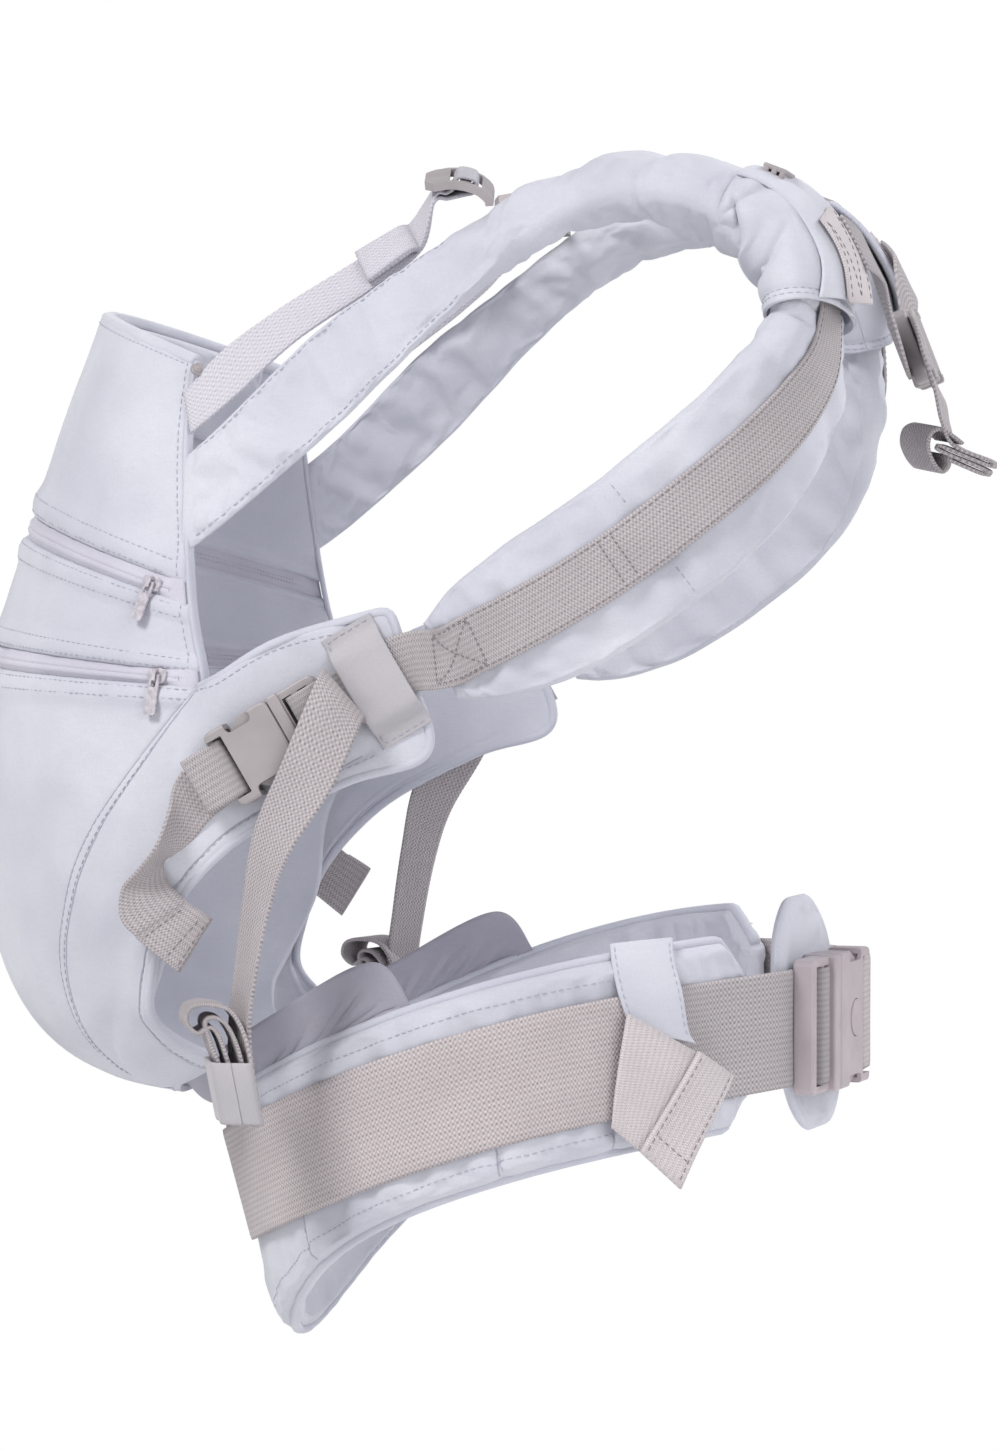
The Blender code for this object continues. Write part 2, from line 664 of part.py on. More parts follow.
def make_waist_webbing():
    """Wide webbing from the plug's ladder all the way round the pad to the socket's bar."""
    thick = WEB_THICK / MM
    half = WAIST_WEB / 2
    kind = WAIST_BUCKLE
    first = (kind["shoulder"] + 0.6 * MM + kind["slot"] / 2) / MM
    second = first + (kind["slot"] + kind["bar"]) / MM
    wrap = 0.22 * kind["thick"] / MM + GAP / MM + thick / 2
    bar = (-kind["socket"] + kind["bar"] / 2) / MM
    slot = (-kind["socket"] + kind["bar"] + kind["slot"] / 2) / MM
    under = WAIST_UNDER
    run = [
        (*waist_pair(first - 0.6, -under + 1.2), thick),
        (*waist_pair(first - 0.6, 0), thick),
        (*waist_pair(first + 0.2, under - 1.2), thick),
        (*waist_pair(first + 2.4, under), thick),
        (*waist_pair(second - 2.4, under), thick),
        (*waist_pair(second - 0.2, under - 1.2), thick),
        (*waist_pair(second, 0), thick),
        (*waist_pair(second + 0.2, -under + 1.2), thick),
        (*waist_pair(second + 2.4, -under), thick),
        (*waist_pair(kind["plug"] / MM, -under), thick),
        (*waist_pair(kind["plug"] / MM + 8, -under - 0.3), thick),
    ]
    out = BELT_PAD_THICK + 3 * GAP + WEB_THICK / 2
    angles = (46, 56, 68, 80, 95, 110, 125, 140, 155, 170, 180, 190, 205, 220, 235, 250, 265, 280, 292,
              304, 315)
    for angle in angles:
        upper, lower = (tuple(belt_point(angle, out, rise) / MM) for rise in (half, -half))
        run.append((upper, lower, thick))
    run += [
        (*waist_pair(bar - 36, -5.5), thick),
        (*waist_pair(bar - 16, -wrap - 1.2), thick),
        (*waist_pair(bar, -wrap), thick),
        (*waist_pair(slot - 2, -wrap), thick),
        (*waist_pair(slot, 1.4 - wrap), thick),
        (*waist_pair(slot + 0.3, 0), thick),
        (*waist_pair(slot, wrap - 1.4), thick),
        (*waist_pair(slot - 2, wrap), thick),
        (*waist_pair(bar, wrap), thick),
        (*waist_pair(bar - 16, wrap - 1.5), thick),
    ]
    return lay_band("waist_webbing", run, WEBBING, "left", along=92, across=1)


TAIL_ANGLE = 54                 # where the loose end hangs, in degrees from the back
# Edges of the loose end and of its keeper, measured from the outside of the pad at that angle
WAIST_TAIL = (
    ((-14.6, -18.8, 17.4), (16.4, -6.3, -4.6), 4.0),
    ((-17.6, -21.3, 4.4), (15.4, -8.8, -19.6), 4.6),
    ((-19.6, -22.3, -12.6), (11.4, -11.3, -38.6), 4.6),
    ((-21.6, -22.8, -29.6), (6.4, -13.3, -56.6), 4.0),
)
TAIL_KEEPER = (
    ((-22.9, -7.1, 43.4), (1.1, 7.9, 45.4), 1.4),
    ((-21.4, -12.1, 36.4), (2.6, 1.9, 36.4), 1.4),
    ((-18.9, -16.7, 25.4), (6.1, -2.7, 23.4), 1.4),
    ((-12.7, -17.7, 21.4), (8.3, -6.5, 10.9), 1.4),
)


def beside_belt(run):
    """Stations measured from the outside of the belt pad, as points of the carrier."""
    start = belt_point(TAIL_ANGLE, BELT_PAD_THICK) / MM
    return [(tuple(start + Vector(upper)), tuple(start + Vector(lower)), thick)
            for upper, lower, thick in run]


def make_waist_tail():
    """The wide webbing's loose end, folded in layers and tucked in its keeper."""
    return lay_band("waist_tail", beside_belt(WAIST_TAIL), WEBBING, "left", along=6, across=3)


def make_tail_keeper():
    """Cloth loop from the pad's top edge that holds the loose end."""
    return lay_band("waist_tail_keeper", beside_belt(TAIL_KEEPER), CLOTH, "left", along=12, across=2)


GUSSET_TOP = ((-28, -151.5, 56), (-46, -148, 74), (-92, -126, 50), (-133, -90, 24), (-149.5, -45, 12),
              (-149.5, 0, 10))
GUSSET_SPAN = (105, 255)        # degrees of the belt that the gusset is sewn to


def make_seat_gusset():
    """Cloth between the belt pad's top edge and the hem of the seat."""
    half = [Vector(point) for point in GUSSET_TOP]
    whole = half + [Vector((p.x, -p.y, p.z)) for p in reversed(half[:-1])]
    whole = [tuple(p) for p in whole]

    def place(u, v):
        angle = GUSSET_SPAN[0] + (GUSSET_SPAN[1] - GUSSET_SPAN[0]) * u
        low = belt_point(angle, BELT_PAD_THICK / 2, BELT_ABOVE + 1.5 * MM)
        high = Vector(smooth_at(whole, u)) * MM
        sag = 6 * MM * math.sin(math.pi * v) * math.sin(math.pi * u)
        return low + (high - low) * v - Vector((0, 0, sag))

    return lay_sheet("seat_gusset", 24, 2, place, 2 * MM, CLOTH_SHADE, offset=0.0)


def make_head_support():
    """Padded neck roll inside the panel's top edge."""
    def place(u, v):
        return panel_point(0.004 + 0.115 * v, (2 * u - 1) * 0.82, -PANEL_THICK / MM - 2 * GAP / MM)

    def weight(u, v):
        return 0.35 + 0.65 * math.sin(math.pi * v) ** 0.6

    return lay_sheet("head_support", 20, 5, place, 9 * MM, CLOTH, offset=-1.0, weight=weight)


def make_buckle_flap():
    """Padded flap between the waist buckle and the wearer's back, flat on its inner face."""
    place = waist_buckle_place()
    low = -WAIST_BUCKLE["thick"] / 2 - FLAP_THICK - 0.6 * MM
    bm = bmesh.new()
    half_high = FLAP_HEIGHT / 2
    verts = add_block(bm, (-FLAP_FAR, -half_high - 3 * MM, low),
                      (FLAP_NEAR, half_high - 3 * MM, low + FLAP_THICK))
    round_upright(bm, verts, 22 * MM, 5)
    bm.normal_update()
    round_rim(bm, 1.6 * MM, 2)
    return add_node("waist_buckle_flap", bm, CLOTH, place)


# ------------------------------------------------------------------------------------------------
# Thigh wings, side buckles and their webbing

WING_TOP = ((-119, -155.6, 190), (-98, -155.8, 200), (-72, -156.2, 213), (-52, -156.5, 222),
            (-36, -156.5, 221))
WING_BOTTOM = ((-131, -155.6, 112), (-110, -155.8, 122), (-86, -156.2, 137), (-56, -156.5, 151),
               (-20, -156.5, 160))


def make_wing(side):
    def place(u, v):
        u = u if side == "left" else 1 - u
        low = Vector(smooth_at(WING_BOTTOM, u))
        high = Vector(smooth_at(WING_TOP, u))
        return mirrored((low + (high - low) * v) * MM, side)

    return lay_sheet(f"side_wing_{side}", 8, 3, place, WING_THICK, CLOTH, offset=0.0)


def side_buckle_place(side):
    slope = math.radians(SOCKET_ANGLE)
    along = (math.cos(slope), 0, math.sin(slope))
    sign = 1 if side == "left" else -1
    x, y, z = SIDE_BUCKLE_MOUTH
    return buckle_place((x, sign * y, z), along, (0, -sign, 0))


def on_buckle(x, y, z):
    """A point in the left side buckle's frame, in millimetres, as a point of the carrier."""
    return tuple((side_buckle_place("left") @ Vector((x * MM, y * MM, z * MM))) / MM)


def edge_pair(x, z, half=STRAP_WEB / MM / 2):
    """Both edges of the webbing where it crosses the side buckle at x, z above its middle."""
    return on_buckle(x, half, z), on_buckle(x, -half, z)


LADDER_FLAT = 0.62 * SIDE_BUCKLE["thick"] / MM / 2
UNDER_LADDER = LADDER_FLAT + GAP / MM + WEB_THICK / MM / 2
BAR_WRAP = 0.22 * SIDE_BUCKLE["thick"] / MM + GAP / MM + WEB_THICK / MM / 2
FIRST_SLOT = (SIDE_BUCKLE["shoulder"] + 0.6 * MM + SIDE_BUCKLE["slot"] / 2) / MM
BAR_SLOT = (-SIDE_BUCKLE["socket"] + SIDE_BUCKLE["bar"] + SIDE_BUCKLE["slot"] / 2) / MM
BAR_MIDDLE = (-SIDE_BUCKLE["socket"] + SIDE_BUCKLE["bar"] / 2) / MM
PLUG_END = SIDE_BUCKLE["plug"] / MM


def make_anchor_webbing(side):
    """Webbing looped round the socket's bar, down the wing and on to its free, folded end."""
    run = (
        (*edge_pair(BAR_MIDDLE - 15, 2.2), WEB_THICK / MM),
        (*edge_pair(BAR_MIDDLE - 7, BAR_WRAP + 0.3), WEB_THICK / MM),
        (*edge_pair(BAR_MIDDLE, BAR_WRAP), WEB_THICK / MM),
        (*edge_pair(BAR_SLOT - 0.6, BAR_WRAP - 0.9), WEB_THICK / MM),
        (*edge_pair(BAR_SLOT + 0.1, 0), WEB_THICK / MM),
        (*edge_pair(BAR_SLOT - 0.6, 0.9 - BAR_WRAP), WEB_THICK / MM),
        (*edge_pair(BAR_MIDDLE, -BAR_WRAP), WEB_THICK / MM),
        (*edge_pair(BAR_MIDDLE - 9, -BAR_WRAP - 0.6), WEB_THICK / MM),
        (*edge_pair(BAR_MIDDLE - 20, -4.6), WEB_THICK / MM),
        ((-137, -160, 151), (-125, -160, 129), WEB_THICK / MM),
        ((-149, -160.5, 132), (-130, -160.5, 116), WEB_THICK / MM),
        ((-153, -162, 108), (-132, -162, 108), WEB_THICK / MM),
        ((-149, -163, 86), (-129, -163, 101), WEB_THICK / MM),
        ((-131, -163, 74), (-116, -163, 94), WEB_THICK / MM),
        ((-119, -163, 66), (-106, -163, 86), WEB_THICK / MM),
    )
    return lay_band(f"anchor_webbing_{side}", run, WEBBING, side, along=42, across=1)


def make_strap_tail(side):
    """Webbing up through the plug's ladder, folded over in a slanted crease and hanging down."""
    thick = WEB_THICK / MM
    over = UNDER_LADDER + 0.1
    run = (
        (*edge_pair(PLUG_END + 1, -UNDER_LADDER), thick),
        (*edge_pair(FIRST_SLOT + 2.2, -UNDER_LADDER), thick),
        (*edge_pair(FIRST_SLOT, -UNDER_LADDER + 1.2), thick),
        (*edge_pair(FIRST_SLOT - 0.3, 0), thick),
        (*edge_pair(FIRST_SLOT, over - 1.2), thick),
        (*edge_pair(FIRST_SLOT + 2.2, over), thick),
        (*edge_pair(PLUG_END, over + 0.2), thick),
        (on_buckle(27, 12.8, over + 0.6), on_buckle(31, -12.8, over + 0.6), thick),
        (on_buckle(28, 12.9, over + 2.4), on_buckle(32.4, -12.9, over + 2.4), thick),
        (on_buckle(25, 12.8, over + 4.4), on_buckle(31, -13, over + 4.4), thick),
        ((-78, -174, 158), (-56, -177, 148), thick),
        ((-90, -171, 131), (-73, -182, 121), thick),
        ((-95, -170, 104), (-81, -183, 99), thick),
        ((-99, -168, 74), (-87, -183, 70), thick),
        ((-102, -167, 44), (-90, -181, 42), thick + 0.8),
        ((-100, -166, 8), (-86, -178, 8), 2.4 * thick),
    )
    return lay_band(f"strap_tail_{side}", run, WEBBING, side, along=54, across=1)


def pad_face(share, lift=0.0):
    """A point on the outside of the shoulder pad's middle line, its normal and its direction."""
    middle, along, wide, normal, _, thick = strap_frame(PAD_RUN, share)
    return middle + normal * (thick / 2 + lift), normal


def make_strap_webbing(side):
    """Webbing sewn along the pad, free from the pad's end and on through the sleeve to the plug."""
    lift = 2 * GAP / MM + WEB_THICK / MM / 2
    stations = []
    for k in range(12):
        point, normal = pad_face(0.07 + 0.90 * k / 11, lift)
        stations.append((tuple(point), tuple(normal), STRAP_WEB / MM, WEB_THICK / MM))
    for x in (58, 42, 32, PLUG_END + 2.4):
        point = on_buckle(x, 0, -UNDER_LADDER + 0.6 * (x > 30))
        stations.append((point, (0, -1, 0), STRAP_WEB / MM, WEB_THICK / MM))
    return lay_strap(f"strap_webbing_{side}", stations, WEBBING, side, along=44, across=1)


SLEEVE_X = (31, 55)             # the sleeve's two edges along the side buckle's own x, in millimetres
SLEEVE_HALF = 26                # half its length across the webbing
SLEEVE_FOOT = -158.5 - GAP / MM - 0.7


def make_webbing_sleeve(side):
    """Smooth elastic loop on the wing, raised over the webbing that passes through it."""
    foot = SLEEVE_FOOT
    humps = ((-1.0, foot), (-0.78, foot - 0.3), (-0.58, -163.2), (-0.3, -163.9), (0, -164.1),
             (0.3, -163.9), (0.58, -163.2), (0.78, foot - 0.3), (1.0, foot))
    run = []
    for share, depth in humps:
        first = on_buckle(SLEEVE_X[0], share * SLEEVE_HALF, 0)
        second = on_buckle(SLEEVE_X[1], share * SLEEVE_HALF, 0)
        run.append(((first[0], depth, first[2]), (second[0], depth, second[2]), 1.2))
    return lay_band(f"webbing_sleeve_{side}", run, CLOTH, side, along=20, across=1)


# ------------------------------------------------------------------------------------------------
# Load lifter: webbing from the panel's top corner to a ladder lock on the shoulder strap

LIFTER_RUN = (
    ((-134, -112.6, 312), (-129.5, -118.3, 295), 1.6),
    ((-117, -113.5, 330), (-110, -117.5, 311), 1.6),
    ((-93, -109, 348), (-85, -113.5, 334), 1.6),
    ((-61, -99, 369), (-54, -104, 356), 1.6),
    ((-40, -90, 384), (-34, -96, 373), 1.6),
)
LIFTER_THREAD = ((-12, -5.8), (-6, -3.4), (1, -1.0), (4.2, 0.3), (5.3, 3.0), (4.2, 5.5), (1, 6.3),
                 (-2.6, 6.1), (-4.2, 3.6), (-4.4, 1.0), (-7, -1.0), (-12, -3.4))
LIFTER_END = (
    ((-39.4, -92.4, 385.0), (-33.4, -98.4, 374.2), 2.0),
    ((-45, -95.0, 382.2), (-38.5, -101.0, 371.6), 4.0),
    ((-62, -101.0, 371.6), (-55, -106.0, 359.0), 4.0),
)
LOCK_MIDDLE = (-17, -90, 399.5)
LOCK_ALONG = (0.96, 0.18, -0.10)
LOCK_FACE = (0.05, -0.25, 0.97)
LOCK_WIDTH = 33 * MM
LOCK_LENGTH = 23 * MM
LOCK_THICK = 3.4 * MM


def lock_place(side):
    sign = 1 if side == "left" else -1
    x, y, z = LOCK_MIDDLE
    along = (LOCK_ALONG[0], sign * LOCK_ALONG[1], LOCK_ALONG[2])
    face = (LOCK_FACE[0], sign * LOCK_FACE[1], LOCK_FACE[2])
    return buckle_place((x, sign * y, z), along, face)


def make_lifter_lock(side):
    """Ladder lock: a bowed frame with two slots and a lever lip to lift it by."""
    name = f"lifter_lock_{side}"
    half = LOCK_LENGTH / 2
    wide = LOCK_WIDTH / 2
    profile = ((-half - 5 * MM, 1.0 * MM), (-half, 2.0 * MM), (-half * 0.4, 3.6 * MM),
               (half * 0.4, 2.6 * MM), (half * 0.9, -0.8 * MM), (half, -3.6 * MM))

    def place(u, v):
        x, z = smooth_at(profile, v)
        narrow = 0.62 if v < 0.01 else (0.8 if v < 0.11 else 1.0)
        return Vector((x, wide * (2 * u - 1) * narrow, z))

    lock = lay_sheet(name, 4, 12, place, LOCK_THICK, MOULDED, offset=0.0)
    lock.data.transform(lock_place(side))
    slot_half = STRAP_WEB / 2 + 0.6 * MM
    slots = [((-half * 0.55, -slot_half, -9 * MM), (-half * 0.55 + 4.4 * MM, slot_half, 9 * MM)),
             ((half * 0.25, -slot_half, -9 * MM), (half * 0.25 + 4.6 * MM, slot_half, 9 * MM))]
    combine(lock, box_tool(name + "_slots", slots, lock_place(side)), "DIFFERENCE")
    return lock


def make_lifter_webbing(side):
    """Webbing from the panel up to the lock, round its middle bar and back to a folded end."""
    place = lock_place("left")
    half = STRAP_WEB / MM / 2 - 1
    thread = []
    for x, z in LIFTER_THREAD:
        edges = [tuple(place @ (Vector((x, edge, z)) * MM) / MM) for edge in (half, -half)]
        thread.append((*edges, WEB_THICK / MM))
    run = (*LIFTER_RUN, *thread, *LIFTER_END)
    return lay_band(f"lifter_webbing_{side}", run, WEBBING, side, along=58, across=1)


# ------------------------------------------------------------------------------------------------
# Cuff at the back of each shoulder strap

def make_cuff(side):
    """Cloth sleeve round the strap where the shoulder part and the lower pad meet."""
    round_ = 16
    along = 4
    bm = bmesh.new()
    bmesh.ops.create_grid(bm, x_segments=round_, y_segments=along, size=0.5)
    for vert in bm.verts:
        share = vert.co.y + 0.5
        if side == "right":
            share = 1 - share
        turn = 2 * math.pi * (vert.co.x + 0.5)
        middle, _, wide, normal, width, thick = strap_frame(CUFF_RUN, share)
        c, s = math.cos(turn), math.sin(turn)
        flat = 0.72
        x = math.copysign(abs(c) ** flat, c) * width / 2
        z = math.copysign(abs(s) ** flat, s) * thick / 2
        vert.co = mirrored((middle + wide * x + normal * z) * MM, side)
    bmesh.ops.remove_doubles(bm, verts=bm.verts, dist=1e-6)
    bmesh.ops.recalc_face_normals(bm, faces=bm.faces)
    cuff = add_node(f"strap_cuff_{side}", bm, CLOTH)
    wall = cuff.modifiers.new("thickness", "SOLIDIFY")
    wall.thickness = CUFF_THICK
    wall.offset = 1.0
    return cuff


# ------------------------------------------------------------------------------------------------
# Back strap between the shoulders, with its buckle at the middle

BACK_MOUTH = (166, 4, 334)
BACK_FACE = (0.93, 0.0, 0.36)


def back_buckle_place():
    """The back buckle's frame: the plug's ladder points to the left strap."""
    return buckle_place(BACK_MOUTH, (0, -1, 0), BACK_FACE)


def on_back_buckle(x, y, z):
    return tuple((back_buckle_place() @ Vector((x * MM, y * MM, z * MM))) / MM)


def back_pair(x, z, half=STRAP_WEB / MM / 2):
    """Upper and lower edges of the webbing where it crosses the back buckle at x, z above its middle."""
    return on_back_buckle(x, -half, z), on_back_buckle(x, half, z)


def make_back_webbing_left():
    """From the left cuff to the plug's ladder."""
    thick = WEB_THICK / MM
    run = (
        ((140.6, -82, 385), (152, -84, 362.5), thick),
        ((145.4, -72, 381), (156.8, -72, 358.5), thick),
        ((151, -58, 371), (161, -58, 348.5), thick),
        (*back_pair(42, -3.0), thick),
        (*back_pair(PLUG_END + 6, -UNDER_LADDER), thick),
        (*back_pair(PLUG_END - 1, -UNDER_LADDER), thick),
        (*back_pair(FIRST_SLOT + 7, -UNDER_LADDER), thick),
    )
    return lay_band("back_webbing_left", run, WEBBING, "left", along=20, across=1)


def make_back_tail():
    """The plug's loose webbing: through the ladder, over it and down to an end folded flat in layers."""
    thick = WEB_THICK / MM
    over = UNDER_LADDER
    run = [
        (*back_pair(FIRST_SLOT + 2.2, -UNDER_LADDER), thick),
        (*back_pair(FIRST_SLOT, -UNDER_LADDER + 1.2), thick),
        (*back_pair(FIRST_SLOT - 0.3, 0), thick),
        (*back_pair(FIRST_SLOT, over - 1.2), thick),
        (*back_pair(FIRST_SLOT + 2.2, over), thick),
        (*back_pair(PLUG_END - 2, over + 0.4), thick),
        ((169, -31, 345), (174, -24, 326), thick),
        ((173, -41, 333), (177, -25, 316), thick),
        ((179, -47, 316), (182, -26, 309), thick),
        ((182.5, -50, 301), (184, -27, 299), thick),
    ]
    step = thick + 0.5
    way = Vector((0.92, 0.0, -0.39))
    lift = Vector((0.39, 0.0, 0.92))
    start = Vector((186, -38, 291))
    half = Vector((0, -1, 0)) * (STRAP_WEB / MM / 2)
    folds = ((2, 0), (18, 0), (20.2, 0.5), (18, 1), (-2, 1), (-4.4, 1.5), (-2, 2), (17, 2), (19.2, 2.5),
             (17, 3), (2, 3))
    for reach, layer in folds:
        middle = start + way * reach - lift * (step * layer)
        run.append((tuple(middle + half), tuple(middle - half), thick))
    return lay_band("back_tail", run, WEBBING, "left", along=60, across=1)


def make_tail_band():
    """Smooth elastic band that curls round the folded end and holds its layers together."""
    curl = ((183.1, 294.9), (181, 295.8), (175, 299.5), (169.5, 298.5), (167, 292), (169, 284.5),
            (173, 279.2), (177, 278.4), (179.4, 283.4))
    run = [((x, -49.5, z), (x, -28.5, z), 1.4) for x, z in curl]
    return lay_band("back_tail_band", run, CLOTH_SHADE, "left", along=20, across=1)


def make_back_webbing_right():
    """From the right cuff to the socket's bar, looped round it."""
    thick = WEB_THICK / MM
    run = (
        ((140.6, 82, 385), (152, 84, 362.5), thick),
        ((145.4, 72, 381), (156.8, 72, 358.5), thick),
        ((151, 60, 372), (161, 60, 349.5), thick),
        (*back_pair(BAR_MIDDLE - 14, -BAR_WRAP - 1.0), thick),
        (*back_pair(BAR_MIDDLE - 5, -BAR_WRAP), thick),
        (*back_pair(BAR_MIDDLE, -BAR_WRAP), thick),
        (*back_pair(BAR_SLOT - 0.6, 0.9 - BAR_WRAP), thick),
        (*back_pair(BAR_SLOT + 0.1, 0), thick),
        (*back_pair(BAR_SLOT - 0.6, BAR_WRAP - 0.9), thick),
        (*back_pair(BAR_MIDDLE, BAR_WRAP), thick),
        (*back_pair(BAR_MIDDLE - 6, BAR_WRAP), thick),
        (*back_pair(BAR_MIDDLE - 14, BAR_WRAP - 1.6), thick),
    )
    return lay_band("back_webbing_right", run, WEBBING, "left", along=36, across=1)


YOKE_THICK = 2.2 * MM


def make_yoke(side):
    """Cloth yoke that lies on the back of the cuff and narrows to the back webbing sewn over it."""
    def place(u, v):
        u = u if side == "left" else 1 - u
        span = 0.78 - 0.30 * u
        share = 0.50 + 0.02 * u + (0.5 - v) * span
        middle, _, wide, normal, _, thick = strap_frame(CUFF_RUN, share)
        inward = wide if wide.y > 0 else -wide
        lift = thick / 2 + (CUFF_THICK + GAP + YOKE_THICK / 2) / MM
        return mirrored((middle + normal * lift + inward * (-12 + 46 * u)) * MM, side)

    return lay_sheet(f"back_yoke_{side}", 10, 6, place, YOKE_THICK, CLOTH, offset=0.0)


# ------------------------------------------------------------------------------------------------
# The carrier

clear_scene()
CARRIER = new_collection("soft baby carrier")
CUTTERS = new_collection("cutters")

upper_top, upper_bottom = zip_edges(UPPER_ZIP_LEVEL)
lower_top, lower_bottom = zip_edges(LOWER_ZIP_LEVEL)
panel_piece("upper_panel", 0.0, upper_top, 6, CLOTH, PANEL_THICK)
panel_piece("extension_panel", upper_bottom, lower_top, 2, CLOTH, PANEL_THICK)
panel_piece("seat_panel", lower_bottom, 1.0, 12, CLOTH, PANEL_THICK)
for word, level in (("upper", UPPER_ZIP_LEVEL), ("lower", LOWER_ZIP_LEVEL)):
    make_zip(f"{word}_zip", level)
    make_zip_slider(f"{word}_zip_slider", level, -0.9)
    make_zip_pull(f"{word}_zip_pull", level, -0.9)

make_belt_pad()
place = waist_buckle_place()
make_socket("waist_socket", WAIST_BUCKLE, place, MOULDED_DARK, button=True)
make_button("waist_button", WAIST_BUCKLE, place, MOULDED_DARK)
make_plug("waist_plug", WAIST_BUCKLE, place, MOULDED_DARK)
make_prongs("waist_prong", WAIST_BUCKLE, place, MOULDED_DARK)
make_buckle_flap()
make_waist_webbing()
make_waist_tail()
make_tail_keeper()
make_seat_gusset()
make_head_support()

place = back_buckle_place()
make_socket("back_socket", BACK_BUCKLE, place, MOULDED)
make_plug("back_plug", BACK_BUCKLE, place, MOULDED)
make_prongs("back_prong", BACK_BUCKLE, place, MOULDED)
make_back_webbing_left()
make_back_webbing_right()
make_back_tail()
make_tail_band()

for side in ("left", "right"):
    lay_band(f"shoulder_strap_{side}", STRAP_RUN, CLOTH, side, STRAP_STEPS, 4, edge=0.4)
    lay_strap(f"shoulder_pad_{side}", PAD_RUN, CLOTH, side, PAD_STEPS, 4, edge=0.4)
    make_cuff(side)
    make_yoke(side)
    make_wing(side)
    make_webbing_sleeve(side)
    place = side_buckle_place(side)
    make_socket(f"side_socket_{side}", SIDE_BUCKLE, place, MOULDED)
    make_plug(f"side_plug_{side}", SIDE_BUCKLE, place, MOULDED)
    make_prongs(f"side_prong_{side}", SIDE_BUCKLE, place, MOULDED)
    make_anchor_webbing(side)
    make_strap_webbing(side)
    make_strap_tail(side)
    make_lifter_webbing(side)
    make_lifter_lock(side)
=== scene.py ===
"""Looks of the soft baby carrier: woven cloth, padding, webbing, zips, stitching and moulded buckles."""
import json
import math

import bmesh
import bpy
from mathutils import Matrix, Vector, noise
from mathutils.bvhtree import BVHTree

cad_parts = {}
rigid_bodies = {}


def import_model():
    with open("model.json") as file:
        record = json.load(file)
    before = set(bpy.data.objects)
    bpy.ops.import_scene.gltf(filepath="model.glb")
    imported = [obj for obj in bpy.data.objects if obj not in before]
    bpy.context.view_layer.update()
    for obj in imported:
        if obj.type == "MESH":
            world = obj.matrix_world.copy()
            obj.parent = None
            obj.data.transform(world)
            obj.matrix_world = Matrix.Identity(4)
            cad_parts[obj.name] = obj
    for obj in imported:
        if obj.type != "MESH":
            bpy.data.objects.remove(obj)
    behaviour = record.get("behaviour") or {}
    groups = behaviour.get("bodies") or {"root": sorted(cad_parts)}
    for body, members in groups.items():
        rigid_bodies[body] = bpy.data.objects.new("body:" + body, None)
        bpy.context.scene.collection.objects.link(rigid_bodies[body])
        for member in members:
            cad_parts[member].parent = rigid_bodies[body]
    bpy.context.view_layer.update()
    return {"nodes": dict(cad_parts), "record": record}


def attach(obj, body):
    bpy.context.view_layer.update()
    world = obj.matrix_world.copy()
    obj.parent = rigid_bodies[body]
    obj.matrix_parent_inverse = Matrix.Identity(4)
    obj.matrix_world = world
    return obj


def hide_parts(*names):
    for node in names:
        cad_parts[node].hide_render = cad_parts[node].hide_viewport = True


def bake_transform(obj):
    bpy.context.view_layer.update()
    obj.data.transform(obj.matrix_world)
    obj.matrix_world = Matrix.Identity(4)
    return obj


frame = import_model()
MM = 0.001

# ------------------------------------------------------------------------------------------------
# Camera

VIEW_DISTANCE = 2.2             # metres from the camera to the middle of the carrier
HALF_VIEW = 0.146465            # half the height that the camera sees, as a share of the distance

scene = bpy.context.scene
target = Vector((-0.018, 0.0, 0.168))
turn, tilt = math.radians(10), math.radians(2)
away = Vector((math.sin(turn) * math.cos(tilt), -math.cos(turn) * math.cos(tilt), math.sin(tilt)))
camera = bpy.data.objects.new("camera", bpy.data.cameras.new("camera"))
scene.collection.objects.link(camera)
camera.data.sensor_fit = "VERTICAL"
camera.data.angle_y = 2 * math.atan(HALF_VIEW)
camera.location = target + VIEW_DISTANCE * away
camera.rotation_euler = (-away).to_track_quat("-Z", "Y").to_euler()
scene.camera = camera

# ------------------------------------------------------------------------------------------------
# Materials


def linear(code, shade=1.0):
    """A hex colour as linear RGBA, made darker or lighter by a factor."""
    out = []
    for k in (0, 2, 4):
        value = int(code[k:k + 2], 16) / 255
        value = value / 12.92 if value <= 0.04045 else ((value + 0.055) / 1.055) ** 2.4
        out.append(min(1.0, shade * value))
    return (*out, 1.0)


def add(tree, kind, settings=None, **inputs):
    """Add a shader node. A value is set or, if it is a socket, linked; spaces in names are underscores."""
    node = tree.nodes.new("ShaderNode" + kind)
    for name, value in (settings or {}).items():
        setattr(node, name, value)
    for name, value in inputs.items():
        numbered = name[0] == "i" and name[1:].isdigit()
        socket = node.inputs[int(name[1:]) if numbered else name.replace("_", " ")]
        if isinstance(value, bpy.types.NodeSocket):
            tree.links.new(value, socket)
        else:
            socket.default_value = value
    return node


def new_material(name, rough, **principled):
    """A material with a principled shader; spaces in names are underscores."""
    mat = bpy.data.materials.new(name)
    mat.use_nodes = True
    tree = mat.node_tree
    shader = tree.nodes["Principled BSDF"]
    shader.inputs["Roughness"].default_value = rough
    for key, value in principled.items():
        shader.inputs[key.replace("_", " ")].default_value = value
    return mat, tree, shader


def feed(tree, shader, **sockets):
    """Link sockets to a shader's inputs; spaces in names are underscores."""
    for name, socket in sockets.items():
        tree.links.new(socket, shader.inputs[name.replace("_", " ")])


def mix(tree, factor, low, high):
    return add(tree, "MixRGB", i0=factor, i1=low, i2=high).outputs[0]


def spread(tree, value, low, high, lo=0.0, hi=1.0):
    """Map a value from one range to another."""
    return add(tree, "MapRange", i0=value, i1=low, i2=high, i3=lo, i4=hi).outputs[0]


